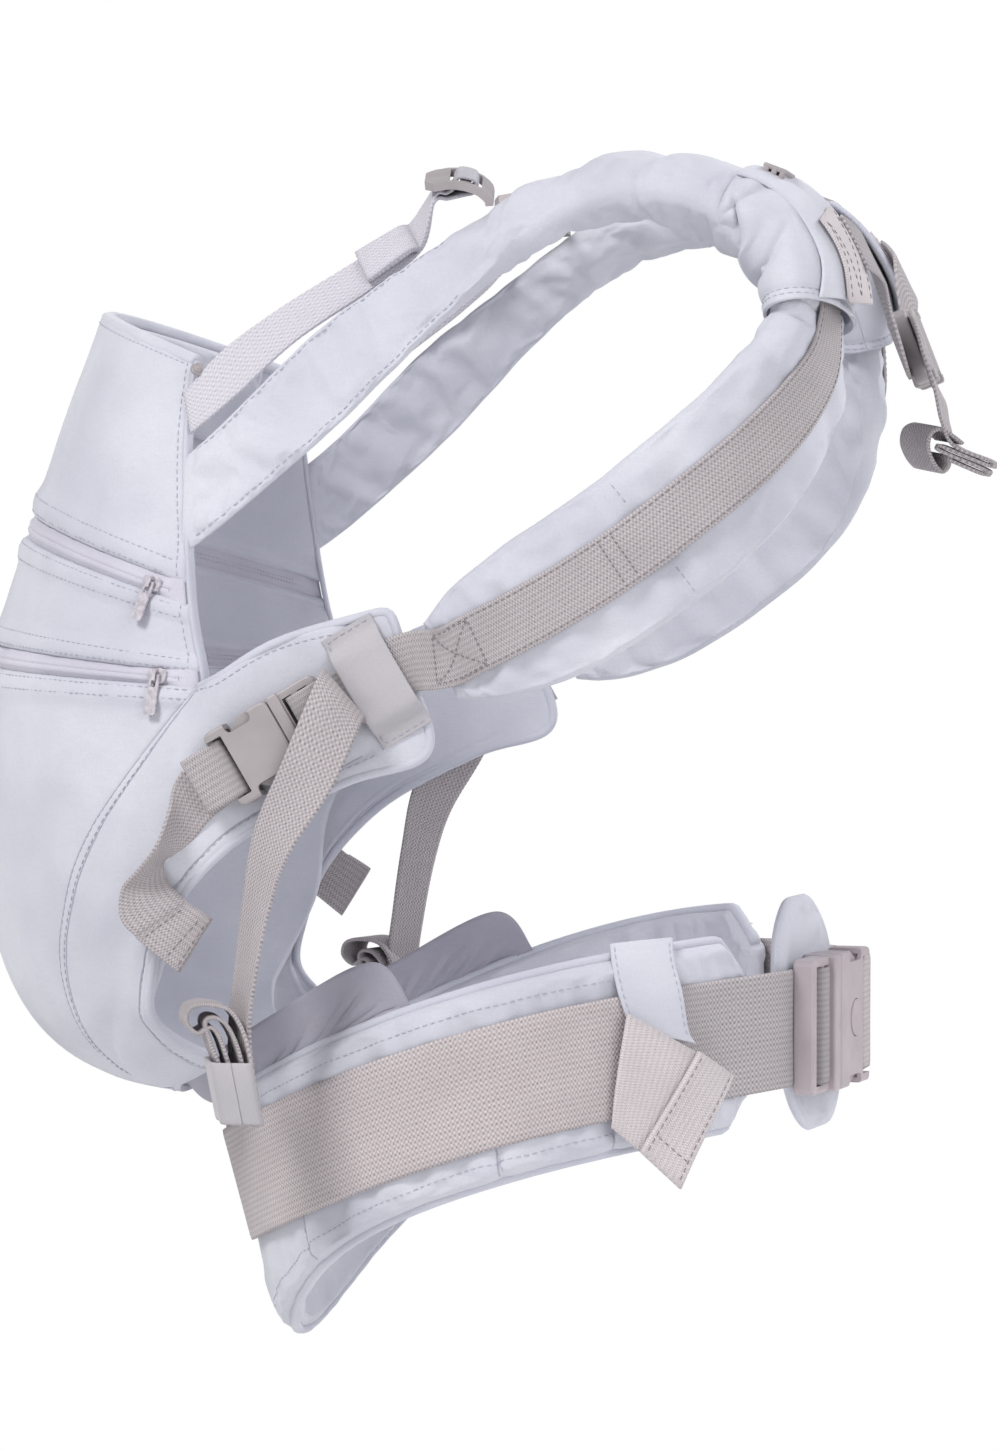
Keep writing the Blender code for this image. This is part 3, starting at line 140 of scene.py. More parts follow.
def maths(tree, operation, first, second=0.0):
    return add(tree, "Math", {"operation": operation}, i0=first, i1=second).outputs[0]


def grain(tree, place, scale, detail=3.0):
    return add(tree, "TexNoise", Vector=place, Scale=scale, Detail=detail).outputs["Fac"]


def sine(tree, length, pitch_mm):
    """A wave along a length in metres, with a pitch in millimetres."""
    turns = maths(tree, "MULTIPLY", length, 2 * math.pi / (pitch_mm * MM))
    return maths(tree, "SINE", turns)


def cloth_material(name, code, shade_code, weave_mm=0.7, rough=0.86, slub=0.5):
    """Plain-woven cotton: fine threads on all three axes, faint slubs and a soft change of shade."""
    mat, tree, shader = new_material(name, rough, Sheen_Weight=0.25, Sheen_Roughness=0.5,
                                     Specular_IOR_Level=0.2)
    place = add(tree, "TexCoord").outputs["Object"]
    x, y, z = (sine(tree, part, weave_mm) for part in add(tree, "SeparateXYZ", i0=place).outputs)
    crosses = [maths(tree, "MULTIPLY", a, b) for a, b in ((x, z), (y, z), (x, y))]
    weave = maths(tree, "ADD", maths(tree, "ADD", crosses[0], crosses[1]), crosses[2])
    broad = grain(tree, place, 16.0, 2.0)
    streak = grain(tree, add(tree, "Mapping", i0=place, i3=(160.0, 160.0, 900.0)).outputs[0], 1.0)
    fleck = grain(tree, place, 1300.0, 2.0)
    tone = mix(tree, spread(tree, broad, 0.35, 0.65), linear(code), linear(shade_code))
    tone = mix(tree, spread(tree, streak, 0.35, 0.7, hi=0.16 * slub), tone, linear(shade_code, 0.7))
    tone = mix(tree, spread(tree, fleck, 0.3, 0.7, hi=0.18), tone, linear(shade_code, 0.72))
    rise = maths(tree, "ADD", maths(tree, "MULTIPLY", weave, 0.25), maths(tree, "MULTIPLY", fleck, 0.9))
    rumple = add(tree, "Bump", Strength=0.8, Distance=0.004, Height=grain(tree, place, 30.0, 1.5))
    soft = add(tree, "Bump", Strength=0.4, Distance=0.0008, Height=grain(tree, place, 90.0),
               Normal=rumple.outputs[0])
    bump = add(tree, "Bump", Strength=0.5, Distance=0.00012, Height=rise, Normal=soft.outputs[0])
    feed(tree, shader, Base_Color=tone, Normal=bump.outputs[0])
    return mat


def webbing_material(name, code, dark_code, rib_mm=1.1):
    """Flat-woven webbing on its own map in metres: fine ribs across, broken by lengthwise cords."""
    mat, tree, shader = new_material(name, 0.82, Sheen_Weight=0.15, Specular_IOR_Level=0.2)
    place = add(tree, "UVMap").outputs[0]
    across, along = add(tree, "SeparateXYZ", i0=place).outputs[:2]
    cords = sine(tree, across, 2.4)
    stagger = maths(tree, "MULTIPLY", maths(tree, "SIGN", cords), rib_mm * MM / 4)
    ribs = sine(tree, maths(tree, "ADD", along, stagger), rib_mm)
    weave = maths(tree, "ADD", maths(tree, "MULTIPLY", ribs, 0.55), maths(tree, "MULTIPLY", cords, 0.22))
    fleck = grain(tree, add(tree, "Mapping", i0=place, i3=(900.0, 2600.0, 1.0)).outputs[0], 1.0)
    broad = grain(tree, place, 40.0)
    tone = mix(tree, spread(tree, weave, -0.7, 0.6), linear(dark_code), linear(code))
    tone = mix(tree, spread(tree, fleck, 0.35, 0.65, hi=0.45), tone, linear(code, 1.1))
    tone = mix(tree, spread(tree, broad, 0.35, 0.65, hi=0.15), tone, linear(dark_code))
    bump = add(tree, "Bump", Strength=0.7, Distance=0.0003,
               Height=maths(tree, "ADD", weave, maths(tree, "MULTIPLY", fleck, 0.6)))
    feed(tree, shader, Base_Color=tone, Normal=bump.outputs[0])
    return mat


def plastic_material(name, code, dark_code, rough=0.42):
    """Injection-moulded acetal: a faint spark-eroded grain, rubbed a little smoother on broad faces."""
    mat, tree, shader = new_material(name, rough, Specular_IOR_Level=0.45)
    place = add(tree, "TexCoord").outputs["Object"]
    broad = grain(tree, place, 60.0)
    tone = mix(tree, spread(tree, broad, 0.3, 0.7), linear(code), linear(dark_code))
    gloss = spread(tree, broad, 0.3, 0.7, rough - 0.08, rough + 0.08)
    bump = add(tree, "Bump", Strength=0.25, Distance=0.00008, Height=grain(tree, place, 2600.0, 2.0))
    feed(tree, shader, Base_Color=tone, Roughness=gloss, Normal=bump.outputs[0])
    return mat


def metal_material(name, code, rough=0.5):
    """Die-cast zinc under a thin grey paint, worn brighter where a hand rubs it."""
    mat, tree, shader = new_material(name, rough, Specular_IOR_Level=0.25)
    place = add(tree, "TexCoord").outputs["Object"]
    worn = grain(tree, place, 420.0, 4.0)
    tone = mix(tree, spread(tree, worn, 0.4, 0.7), linear(code), linear(code, 1.5))
    gloss = spread(tree, worn, 0.3, 0.7, rough - 0.1, rough + 0.12)
    bump = add(tree, "Bump", Strength=0.2, Distance=0.0001, Height=grain(tree, place, 1500.0))
    feed(tree, shader, Base_Color=tone, Roughness=gloss, Normal=bump.outputs[0])
    return mat


def thread_material(name, code):
    """Twisted sewing thread."""
    mat, tree, shader = new_material(name, 0.6, Sheen_Weight=0.2, Specular_IOR_Level=0.35)
    place = add(tree, "TexCoord").outputs["Object"]
    feed(tree, shader, Base_Color=mix(tree, grain(tree, place, 2500.0), linear(code, 0.8), linear(code, 1.1)))
    return mat


CLOTH = cloth_material("plain-woven cotton, pale lavender grey", "cacbd5", "bcbdc9")
# Lining cloth: its own grey lavender, made darker as painted shade inside the carrier.
LINING_WITH_PAINTED_SHADE = cloth_material("cotton lining, grey lavender", "a5a3af", "9593a1", weave_mm=0.6, rough=0.9)
EDGING = cloth_material("bias-cut cotton binding", "c6c7d3", "b9bac7", weave_mm=0.55, slub=0.2)
ELASTIC = cloth_material("smooth knitted elastic", "b3b0b6", "a7a4ab", weave_mm=0.45, rough=0.7, slub=0.1)
TAPE = cloth_material("zip tape, tightly woven polyester", "cccad6", "bcb9c7", weave_mm=0.5, rough=0.75,
                      slub=0.2)
WEBBING = webbing_material("polypropylene webbing, woven in ribs", "bcb6b9", "7b7479")
PALE_WEBBING = webbing_material("pale polypropylene webbing, woven in ribs", "cdcbd3", "a9a6b1")
# The same webbing painted lighter, as painted light, for the yoke and the belt's loose end.
PAINTED_LIGHT_WEBBING = webbing_material("polypropylene webbing, pale pinkish grey", "d6cfd2", "aaa2a6")
WIDE_WEBBING = webbing_material("wide polypropylene webbing, woven in ribs", "c9c1c3", "887f83", rib_mm=1.3)
MOULDED = plastic_material("moulded acetal, warm grey", "a09a9d", "979194")
MOULDED_DARK = plastic_material("moulded acetal, mauve grey", "b0a6ab", "a59ba1", 0.38)
COIL = plastic_material("nylon zip coil, lilac grey", "b5b0bd", "a39eac", 0.4)
ZINC = metal_material("painted die-cast zinc", "a6a1a9", 0.6)
THREAD = thread_material("polyester sewing thread, lavender grey", "aaabbd")
WEB_THREAD = thread_material("polyester sewing thread, mauve grey", "7d757c")

# The cloth_shade parts take the lining cloth, whose darker colour is partly painted inner shade.
FINISH = {"cloth": CLOTH, "cloth_shade": LINING_WITH_PAINTED_SHADE, "webbing": WEBBING, "moulded": MOULDED,
          "moulded_dark": MOULDED_DARK, "zip_coil": COIL, "zinc": ZINC}
for entry in frame["record"]["subparts"]:
    for slot in frame["nodes"][entry["node"]].material_slots:
        slot.material = FINISH[entry["material_slot"]]

BODY_OF = {node: body for body, nodes in frame["record"]["behaviour"]["bodies"].items() for node in nodes}
SLOT_OF = {entry["node"]: entry["material_slot"] for entry in frame["record"]["subparts"]}

# ------------------------------------------------------------------------------------------------
# Making pieces


def finish(name, bm, material, body="carrier", slot="cloth"):
    """Turn a bmesh into a piece that rides on a body."""
    mesh = bpy.data.meshes.new(name)
    bm.to_mesh(mesh)
    bm.free()
    piece = bpy.data.objects.new(name, mesh)
    scene.collection.objects.link(piece)
    mesh.materials.append(material)
    mesh.shade_smooth()
    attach(piece, body)
    return piece


def bake(piece):
    """Apply all of a piece's modifiers."""
    depsgraph = bpy.context.evaluated_depsgraph_get()
    mesh = bpy.data.meshes.new_from_object(piece.evaluated_get(depsgraph), depsgraph=depsgraph)
    piece.modifiers.clear()
    piece.data = mesh
    mesh.shade_smooth()
    return piece


def mapped_grid(across, along, map_at):
    """A square grid round the origin; map_at gives its map for shares across and along it."""
    bm = bmesh.new()
    bmesh.ops.create_grid(bm, x_segments=across, y_segments=along, size=0.5)
    uv = bm.loops.layers.uv.verify()
    for face in bm.faces:
        for loop in face.loops:
            loop[uv].uv = map_at(loop.vert.co.x + 0.5, loop.vert.co.y + 0.5)
    return bm


LAID = {}


def thicken(piece, place, thick, **settings):
    """Give a surface laid on place(u, v) its thickness."""
    wall = piece.modifiers.new("wall", "SOLIDIFY")
    wall.thickness = thick
    for name, value in settings.items():
        setattr(wall, name, value)
    bake(piece)
    LAID[piece.name] = (piece, place)


def sheet(name, across, along, place, size, thick, material, node, offset=0.0):
    """A sheet on a formula surface, place(u, v), with its own map in metres, in place of a node."""
    bm = mapped_grid(across, along, lambda u, v: (u * size[0], v * size[1]))
    for vert in bm.verts:
        vert.co = place(vert.co.x + 0.5, vert.co.y + 0.5)
    piece = finish(name, bm, material, BODY_OF[node], SLOT_OF[node])
    thicken(piece, place, thick, offset=offset, use_even_offset=False)
    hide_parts(node)
    return piece


def sweep(name, points, ups, profile, material):
    """Sweep a closed profile of (across, up) pairs, in metres, along a path with its up directions."""
    rows, ring = len(points), len(profile)
    width = sum((Vector(profile[k]) - Vector(profile[k - 1])).length for k in range(1, ring))
    run = [0.0]
    for a, b in zip(points, points[1:]):
        run.append(run[-1] + (b - a).length)
    bm = mapped_grid(ring, rows - 1, lambda u, v: (u * width, run[int(round(v * (rows - 1)))]))
    for vert in bm.verts:
        row = int(round((vert.co.y + 0.5) * (rows - 1)))
        col = int(round((vert.co.x + 0.5) * ring)) % ring
        along = (points[min(row + 1, rows - 1)] - points[max(row - 1, 0)]).normalized()
        side = along.cross(ups[row]).normalized()
        up = side.cross(along)
        vert.co = points[row] + side * profile[col][0] + up * profile[col][1]
    bmesh.ops.remove_doubles(bm, verts=bm.verts, dist=1e-7)
    bmesh.ops.holes_fill(bm, edges=[e for e in bm.edges if e.is_boundary], sides=0)
    bmesh.ops.recalc_face_normals(bm, faces=bm.faces)
    finish(name, bm, material)


def mirror_path(points):
    return [Vector((p.x, -p.y, p.z)) for p in points]


def sweep_both(name, points, ups, profile, material):
    """Sweep a profile along a path on the left side and along its mirror image on the right."""
    sweep(name + "_left", points, ups, profile, material)
    sweep(name + "_right", mirror_path(points), mirror_path(ups), profile, material)


def powered(value, power):
    """A number raised to a power, with its sign kept."""
    return math.copysign(abs(value) ** power, value)


def round_profile(width, height, count=10):
    """A rounded outline, width by height in metres."""
    angles = [2 * math.pi * k / count for k in range(count)]
    return [(powered(math.cos(a), 0.8) * width / 2, powered(math.sin(a), 0.8) * height / 2) for a in angles]


def smoothed(points, times):
    """A path with every point but the two ends drawn towards its neighbours."""
    for _ in range(times):
        inner = [(a + 2 * b + c) / 4 for a, b, c in zip(points, points[1:], points[2:])]
        points = [points[0]] + inner + [points[-1]]
    return points


def resample(points, step):
    """Points at even distances along a polyline."""
    out, carry = [points[0].copy()], 0.0
    for a, b in zip(points, points[1:]):
        length = (b - a).length
        at = step - carry
        while at <= length:
            out.append(a.lerp(b, at / length))
            at += step
        carry = (carry + length) % step
    return out


SEAMS = {}
SKINS = {}
STITCH_SINK = 0.06 * MM         # how deep a stitch lies in the cloth


def stitch(key, points, normals, length=2.6 * MM, gap=0.9 * MM, radius=0.22 * MM):
    """Record a row of stitches along a path on a surface; build_stitches makes them."""
    run = [0.0]
    for a, b in zip(points, points[1:]):
        run.append(run[-1] + (b - a).length)
    at, k = gap, 0
    while at + length < run[-1]:
        ends = []
        for want in (at, at + length):
            while run[k + 1] < want:
                k += 1
            share = (want - run[k]) / max(run[k + 1] - run[k], 1e-9)
            ends += [points[k].lerp(points[k + 1], share), normals[k].lerp(normals[k + 1], share)]
        SEAMS.setdefault(key, []).append((*ends, radius))
        at += length + gap


def lay_on(laid, points, guesses, reach):
    """Drop points onto a laid piece; returns points and normals of its skin."""
    if laid not in SKINS:
        SKINS[laid] = Skin(LAID[laid][0])
    return SKINS[laid].lay(points, guesses, reach)


def line(start, end, count):
    """Evenly spaced (u, v) corners from start to end."""
    return [tuple(a + (b - a) * k / count for a, b in zip(start, end)) for k in range(count + 1)]


def seam_points(laid, path, toward, reach):
    """Points and normals on the face of a laid piece that looks toward a direction, along (u, v) corners."""
    place = LAID[laid][1]
    toward = Vector(toward)
    step = 0.004
    points, guesses = [], []
    for (u0, v0), (u1, v1) in zip(path, path[1:]):
        count = max(3, int((place(u1, v1) - place(u0, v0)).length / (1.5 * MM)), int(120 / len(path)))
        for k in range(count + (path[-1] == (u1, v1))):
            u, v = u0 + (u1 - u0) * k / count, v0 + (v1 - v0) * k / count
            across = place(min(u + step, 1), v) - place(max(u - step, 0), v)
            down = place(u, min(v + step, 1)) - place(u, max(v - step, 0))
            normal = across.cross(down).normalized()
            points.append(place(u, v))
            guesses.append(normal if normal.dot(toward) > 0 else -normal)
    return lay_on(laid, points, guesses, reach)


def seam_shadow_line(name, laid, path, toward, material, width=0.8 * MM, height=0.5 * MM, reach=8 * MM):
    """A thin darker strip beside a seam, as painted seam shadow, on the left side and mirrored on the right.
    """
    points, ups = seam_points(laid, path, toward, reach)
    sweep_both(name, smoothed(points, 2), ups, round_profile(width, height, 8), material)


def stitch_both(name, points, ups, thread, bodies=("carrier", "carrier"), **size):
    """Stitches along a path on the left side and along its mirror image on the right."""
    stitch((name + "_left", bodies[0], thread.name), points, ups, **size)
    stitch((name + "_right", bodies[1], thread.name), mirror_path(points), mirror_path(ups), **size)


def seam(name, laid, path, toward, both=True, thread=THREAD, reach=8 * MM, **size):
    """Stitch a laid piece along a path of (u, v) corners, on the face that looks toward a direction."""
    points, ups = seam_points(laid, path, toward, reach)
    if both:
        stitch_both(name, points, ups, thread, **size)
    else:
        stitch((name, "carrier", thread.name), points, ups, **size)


def build_stitches():
    """Make every recorded stitch as a short rounded thread, one piece per seam name and body."""
    for (name, body, material), rows in SEAMS.items():
        bm = bmesh.new()
        for a, na, b, nb, radius in rows:
            length = (b - a).length
            along = (b - a).normalized()
            normal = (na + nb).normalized()
            side = normal.cross(along).normalized()
            up = side.cross(along)
            basis = Matrix((along * length / 2, side * radius, up * radius)).transposed().to_4x4()
            middle = (a + b) / 2 + normal * (radius - STITCH_SINK)
            place = Matrix.Translation(middle) @ basis
            bmesh.ops.create_icosphere(bm, subdivisions=1, radius=1.0, matrix=place)
        slot = "webbing" if material == WEB_THREAD.name else "cloth"
        bm.normal_update()
        bmesh.ops.recalc_face_normals(bm, faces=bm.faces)
        finish(name, bm, bpy.data.materials[material], body, slot)


class Skin:
    """Nearest points and normals on a piece."""

    def __init__(self, piece):
        bm = bmesh.new()
        bm.from_mesh(piece.data)
        self.tree = BVHTree.FromBMesh(bm)
        bm.free()

    def lay(self, points, guesses, reach):
        """Drop points onto the skin along guessed normals; returns points and true normals."""
        out, ups = [], []
        for point, guess in zip(points, guesses):
            guess = guess.normalized()
            hit, normal, _, _ = self.tree.ray_cast(point + guess * reach, -guess, 2.2 * reach)
            if hit is None:
                hit, normal, _, _ = self.tree.find_nearest(point)
            if normal.dot(guess) < 0:
                normal = -normal
            out.append(hit)
            ups.append(normal)
        return out, ups


def mirror_piece(piece):
    """The right-hand twin of a left-hand piece, on the other side of the plane Y = 0."""
    name = piece.name.replace("left", "right")
    node = name.rpartition("_")[0]
    bm = bmesh.new()
    bm.from_mesh(piece.data)
    for vert in bm.verts:
        vert.co.y *= -1
    bmesh.ops.reverse_faces(bm, faces=bm.faces)
    twin = finish(name, bm, piece.data.materials[0], BODY_OF[node], SLOT_OF[node])
    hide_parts(node)
    return twin


# ------------------------------------------------------------------------------------------------
# Woven bands and padded slabs


def dense(t, amount=0.75):
    """Spread rows so that they lie closer together towards both ends."""
    return t - amount * math.sin(2 * math.pi * t) / (2 * math.pi)


def rounded(distance, radius):
    """Share of the full thickness at a distance from a rounded edge."""
    t = min(max(distance / radius, 0.0), 1.0)
    return max(0.06, math.sqrt(max(0.0, 1 - (1 - t) ** 2)))


def wander(x, y, z):
    """A smooth random value between about -1 and 1, the same at every run."""
    return noise.noise(Vector((x, y, z)))


def puffs(x, y, z):
    """Round swellings with sharp creases between them, from 0 to 1."""
    return min(1.0, abs(wander(x, y, z)) * 2.4) ** 0.6


def bell(value, width):
    """A smooth hump over zero, 1 high."""
    return math.exp(-((value / width) ** 2))


def slab(name, place, size, thick, cells, material, rim=None, swell=None, sewn=None, ends=(True, True)):
    """A soft slab round the middle surface place(u, v), with rounded rims and its own map in metres."""
    node = name.rpartition("_")[0]
    rim = rim or thick / 2
    bm = mapped_grid(*cells, lambda u, v: (dense(u) * size[0], dense(v) * size[1]))
    layer = bm.verts.layers.deform.verify()
    for vert in bm.verts:
        u, v = dense(vert.co.x + 0.5), dense(vert.co.y + 0.5)
        share = rounded(min(u, 1 - u) * size[0], rim)
        if ends[0]:
            share = min(share, rounded(v * size[1], rim))
        if ends[1]:
            share = min(share, rounded((1 - v) * size[1], rim))
        vert[layer][0] = max(0.05, share * (swell(u, v) if swell else 1.0))
        if sewn:
            vert[layer][1] = sewn(u, v)
        vert.co = place(u, v)
    piece = finish(name, bm, material, BODY_OF[node], SLOT_OF[node])
    piece.vertex_groups.new(name="thickness")
    piece.vertex_groups.new(name="sewn")
    thicken(piece, place, thick, offset=0.0, vertex_group="thickness", use_quality_normals=True)
    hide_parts(node)
    return piece


STIFFNESS = 15
FRAMES = 20


def inflate(piece, pressure, cap, grow):
    """Blow a slab up as sewn cloth, held where it is sewn, with a limit on how far a point may move."""
    start = [vert.co.copy() for vert in piece.data.vertices]
    cloth = piece.modifiers.new("cloth", "CLOTH")
    settings = cloth.settings
    settings.quality = 5
    settings.mass = 0.3
    settings.tension_stiffness = settings.compression_stiffness = STIFFNESS
    settings.shear_stiffness = STIFFNESS / 3
    settings.bending_stiffness = 0.6
    settings.use_pressure = True
    settings.uniform_pressure_force = pressure
    settings.shrink_min = settings.shrink_max = -grow
    settings.effector_weights.gravity = 0
    settings.vertex_group_mass = "sewn"
    cloth.collision_settings.use_collision = False
    cloth.collision_settings.use_self_collision = False
    cloth.point_cache.frame_end = FRAMES + 1
    for number in range(1, FRAMES + 1):
        scene.frame_set(number)
    bake(piece)
    scene.frame_set(1)
    for vert, before in zip(piece.data.vertices, start):
        move = vert.co - before
        if move.length > cap:
            vert.co = before + move * (cap / move.length)
    smooth = piece.modifiers.new("finer", "SUBSURF")
    smooth.levels = smooth.render_levels = 1
    bake(piece)


def path_length(points):
    return sum((b - a).length for a, b in zip(points, points[1:]))


def lay_band(node, stations, look, side="left", along=24, wave=0.25, name=None):
    """Webbing between two edges, in millimetres: firm selvedges and a faint lengthwise waviness."""
    name = name or node + "_woven"
    widest = max(station[2] for station in stations)
    middle = [band_point(stations, k / 60, 0.5)[0] * MM for k in range(61)]
    first, last = band_point(stations, 0.5, 0.0)[0], band_point(stations, 0.5, 1.0)[0]
    width, length = (last - first).length * MM, path_length(middle)
    phase = sum(ord(c) for c in node) % 17

    def share(v):
        return v if side == "left" else 1 - v

    def place(u, v):
        here = band_point(stations, share(v), u)[0]
        ahead = band_point(stations, min(share(v) + 0.004, 1), u)[0]
        behind = band_point(stations, max(share(v) - 0.004, 0), u)[0]
        other = band_point(stations, share(v), 0.0 if u > 0.5 else 1.0)[0]
        normal = (ahead - behind).cross(other - here).normalized() * (1 if u > 0.5 else -1)
        run = share(v) * length / MM
        bend = wander(run / 22, u * 1.3, phase) * wave
        return mirrored((here + normal * bend) * MM, side)

    def thin(u, v):
        thick = band_point(stations, share(v), u)[1]
        return thick / widest * (0.62 + 0.38 * rounded(min(u, 1 - u) * width, 1.2 * MM))

    bm = mapped_grid(10, 3 * along, lambda u, v: (dense(u, 0.6) * width, share(v) * length))
    layer = bm.verts.layers.deform.verify()
    for vert in bm.verts:
        u, v = dense(vert.co.x + 0.5, 0.6), vert.co.y + 0.5
        vert[layer][0] = thin(u, v)
        vert.co = place(u, v)
    piece = finish(name, bm, look, BODY_OF[node], SLOT_OF[node])
    piece.vertex_groups.new(name="thickness")
    thicken(piece, place, widest * MM, offset=0.0, vertex_group="thickness")
    piece.vertex_groups.clear()
    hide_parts(node)
    return piece


def lay_strap(node, stations, look, side, along):
    """Webbing that follows stations of middle, normal, width and thickness, in millimetres."""
    pairs = []
    for k in range(49):
        middle, _, wide, _, width, thick = strap_frame(stations, k / 48)
        pairs.append((tuple(middle + wide * width * 0.5), tuple(middle - wide * width * 0.5), thick))
    return lay_band(node, pairs, look, side, along)


# ------------------------------------------------------------------------------------------------
# Shape of the carrier. Tables of points and widths are in millimetres, single lengths in metres.

GAP = 0.3 * MM                  # between pieces that touch
STRAP_WEB = 25 * MM             # width of the shoulder, side and back webbing
WAIST_WEB = 50 * MM             # width of the waist belt's webbing
WEB_THICK = 1.6 * MM
WEB = WEB_THICK / MM            # the same in millimetres, for stations of webbing
HALF_WEB = STRAP_WEB / MM / 2   # half the narrow webbing's width in millimetres
PANEL_THICK = 5 * MM            # padded front panel
WAIST_DEPTH = 234 * MM          # inside, front to back
WAIST_WIDTH = 300 * MM          # inside, side to side
BELT_PAD_THICK = 13 * MM
BELT_BACK_Z = 42 * MM           # height of the belt's middle at the back
BELT_DROP = 79 * MM             # how much lower its middle is at the front
BELT_ABOVE = 40 * MM            # pad above the belt's middle
BELT_BELOW = 39 * MM            # pad below the belt's middle
FRONT_LOBE = 29 * MM            # how much further the pad reaches down at the front
PAD_END_ANGLE = 46              # degrees from the back where the pad ends on the socket's side
PANEL_LEVELS = (                # middle (x, z) and left edge (x, y, z) of the front panel, from top to hem
    ((-194, 350), (-131, -105, 326)),
    ((-208, 312), (-132, -119, 288)),           # neck
    ((-226, 258), (-126, -136, 226)),           # upper zip
    ((-244, 200), (-118, -144, 191)),           # lower zip
    ((-249, 150), (-112, -150, 158)),           # thigh
    ((-247, 105), (-128, -153, 118)),           # seat
    ((-238, 62), (-132, -150, 84)),             # leg
    ((-218, 30), (-142, -141, 58)),
    ((-188, 12), (-148, -120, 38)),
    ((-154, 6), (-141, -96, 20)),
)
ZIP_BAND = 9 * MM               # visible width of a zip between two panels
ZIP_REACH = 0.95                # share of the panel's half width that a zip covers
STRAP_RUN = (
    ((-125, -121.5, 291), (-124, -133, 243), 5),
    ((-98, -119, 318), (-92, -130, 272), 5),
    ((-69, -114, 347), (-52, -125, 306), 6),
    ((-36, -106, 372), (-20, -119, 337), 9),
    ((-2, -88, 392), (8, -116, 364), 15),
    ((28, -68, 401), (30, -118, 384), 20),
    ((59, -64, 402), (59, -122, 395), 23),
    ((90, -64, 397), (90, -122, 390), 24),
    ((117, -65, 381), (113, -122, 372), 22),
)
PAD_RUN = (
    ((122, -96, 367), (0.86, -0.10, 0.42), 54, 17),
    ((129, -98.5, 353), (0.95, -0.15, 0.15), 58, 18),
    ((131, -102, 338), (0.96, -0.26, 0.05), 56, 18),
    ((128, -111, 318), (0.85, -0.50, -0.05), 60, 18),
    ((114, -129, 292), (0.55, -0.83, -0.05), 62, 17),
    ((90, -145, 266), (0.22, -0.97, 0.00), 64, 16),
    ((59, -152, 241), (0.05, -1.00, 0.00), 64, 15),
    ((27, -155, 221), (0.00, -1.00, 0.00), 62, 13),
    ((0, -156, 207), (-0.02, -1.00, 0.00), 50, 10),
    ((-15, -156, 200), (-0.02, -1.00, 0.00), 34, 6),
)
SOCKET_ANGLE = 30.6             # slope of the side buckle in degrees
SIDE_BUCKLE_MOUTH = (-78, -164.4, 169.5)
SIDE_BUCKLE = dict(thick=11 * MM, socket=31 * MM, plug=22 * MM, shoulder=5.5 * MM, slot=4.6 * MM,
                   bar=2.8 * MM)
WAIST_BUCKLE = dict(thick=15 * MM, socket=45 * MM, plug=33 * MM, shoulder=9 * MM, slot=7 * MM, bar=4.5 * MM)


def smooth_at(points, share):
    """The point at a share of the way along a smooth curve through the given points."""
    spans = len(points) - 1
    at = min(max(share, 0.0), 1.0) * spans
    k = min(int(at), spans - 1)
    t = at - k
    near = [points[min(max(k + j, 0), spans)] for j in (-1, 0, 1, 2)]
    return [
        0.5 * (2 * b + (c - a) * t + (2 * a - 5 * b + 4 * c - d) * t**2 + (3 * b - a - 3 * c + d) * t**3)
        for a, b, c, d in zip(*near)
    ]


def strap_frame(stations, share):
    """Middle, direction, width direction, normal, width and thickness at a share along a strap."""
    flat = [(*point, *normal, width, thick) for point, normal, width, thick in stations]
    here = smooth_at(flat, share)
    step = 0.004
    ahead = Vector(smooth_at(flat, min(share + step, 1.0))[:3])
    behind = Vector(smooth_at(flat, max(share - step, 0.0))[:3])
    along = (ahead - behind).normalized()
    middle = Vector(here[:3])
    normal = Vector(here[3:6])
    normal = (normal - along * normal.dot(along)).normalized()
    return middle, along, along.cross(normal), normal, here[6], here[7]


def mirrored(point, side):
    """Left side stays, and the right side is its mirror image about Y = 0."""
    return Vector((point[0], point[1] * (1 if side == "left" else -1), point[2]))


def band_point(stations, share, across):
    """A point on a band given by its two edges, and the band's thickness there."""
    flat = [(*upper, *lower, thick) for upper, lower, thick in stations]
    here = smooth_at(flat, share)
    upper = Vector(here[:3])
    lower = Vector(here[3:6])
    return upper + (lower - upper) * across, here[6]


def buckle_place(origin, along, face):
    """A buckle's own frame from its mouth, in millimetres, its direction and the way its face looks."""
    x = Vector(along).normalized()
    z = Vector(face)
    z = (z - x * z.dot(x)).normalized()
    y = z.cross(x)
    turn = Matrix((x, y, z)).transposed().to_4x4()
    return Matrix.Translation(Vector(origin) * MM) @ turn


UPPER_ZIP_LEVEL = 2 / (len(PANEL_LEVELS) - 1)
LOWER_ZIP_LEVEL = 3 / (len(PANEL_LEVELS) - 1)


def panel_arc(level):
    """Centre, radius, half angle and forward direction of the panel's arc at a level from 0 to 1."""
    flat = [(*front, *edge) for front, edge in PANEL_LEVELS]
    fx, fz, ex, ey, ez = smooth_at(flat, level)
    chord = abs(ey)
    forward = Vector((fx - ex, 0, fz - ez))
    height = forward.length
    forward.normalize()
    radius = (chord**2 + height**2) / (2 * height)
    centre = Vector((fx, 0, fz)) - forward * radius
    return centre, radius, math.acos((radius - height) / radius), forward


def panel_point(level, turn, out=0.0):
    """A point on the panel's outer face, turn from -1 at the left edge to 1 at the right."""
    centre, radius, half, forward = panel_arc(level)
    angle = turn * half
    return (centre + (radius + out) * (math.cos(angle) * forward + math.sin(angle) * Vector((0, 1, 0)))) * MM


def level_step(level, millimetres):
    """How far to move a level so that the front of the panel moves by some millimetres."""
    step = 0.004
    run = (panel_point(level + step, 0) - panel_point(level - step, 0)).length / (2 * step)
    return millimetres * MM / run


def zip_edges(level):
    """The levels of the two panel edges beside a zip."""
    half = level_step(level, ZIP_BAND / MM / 2 + 2 * GAP / MM)
    return level - half, level + half


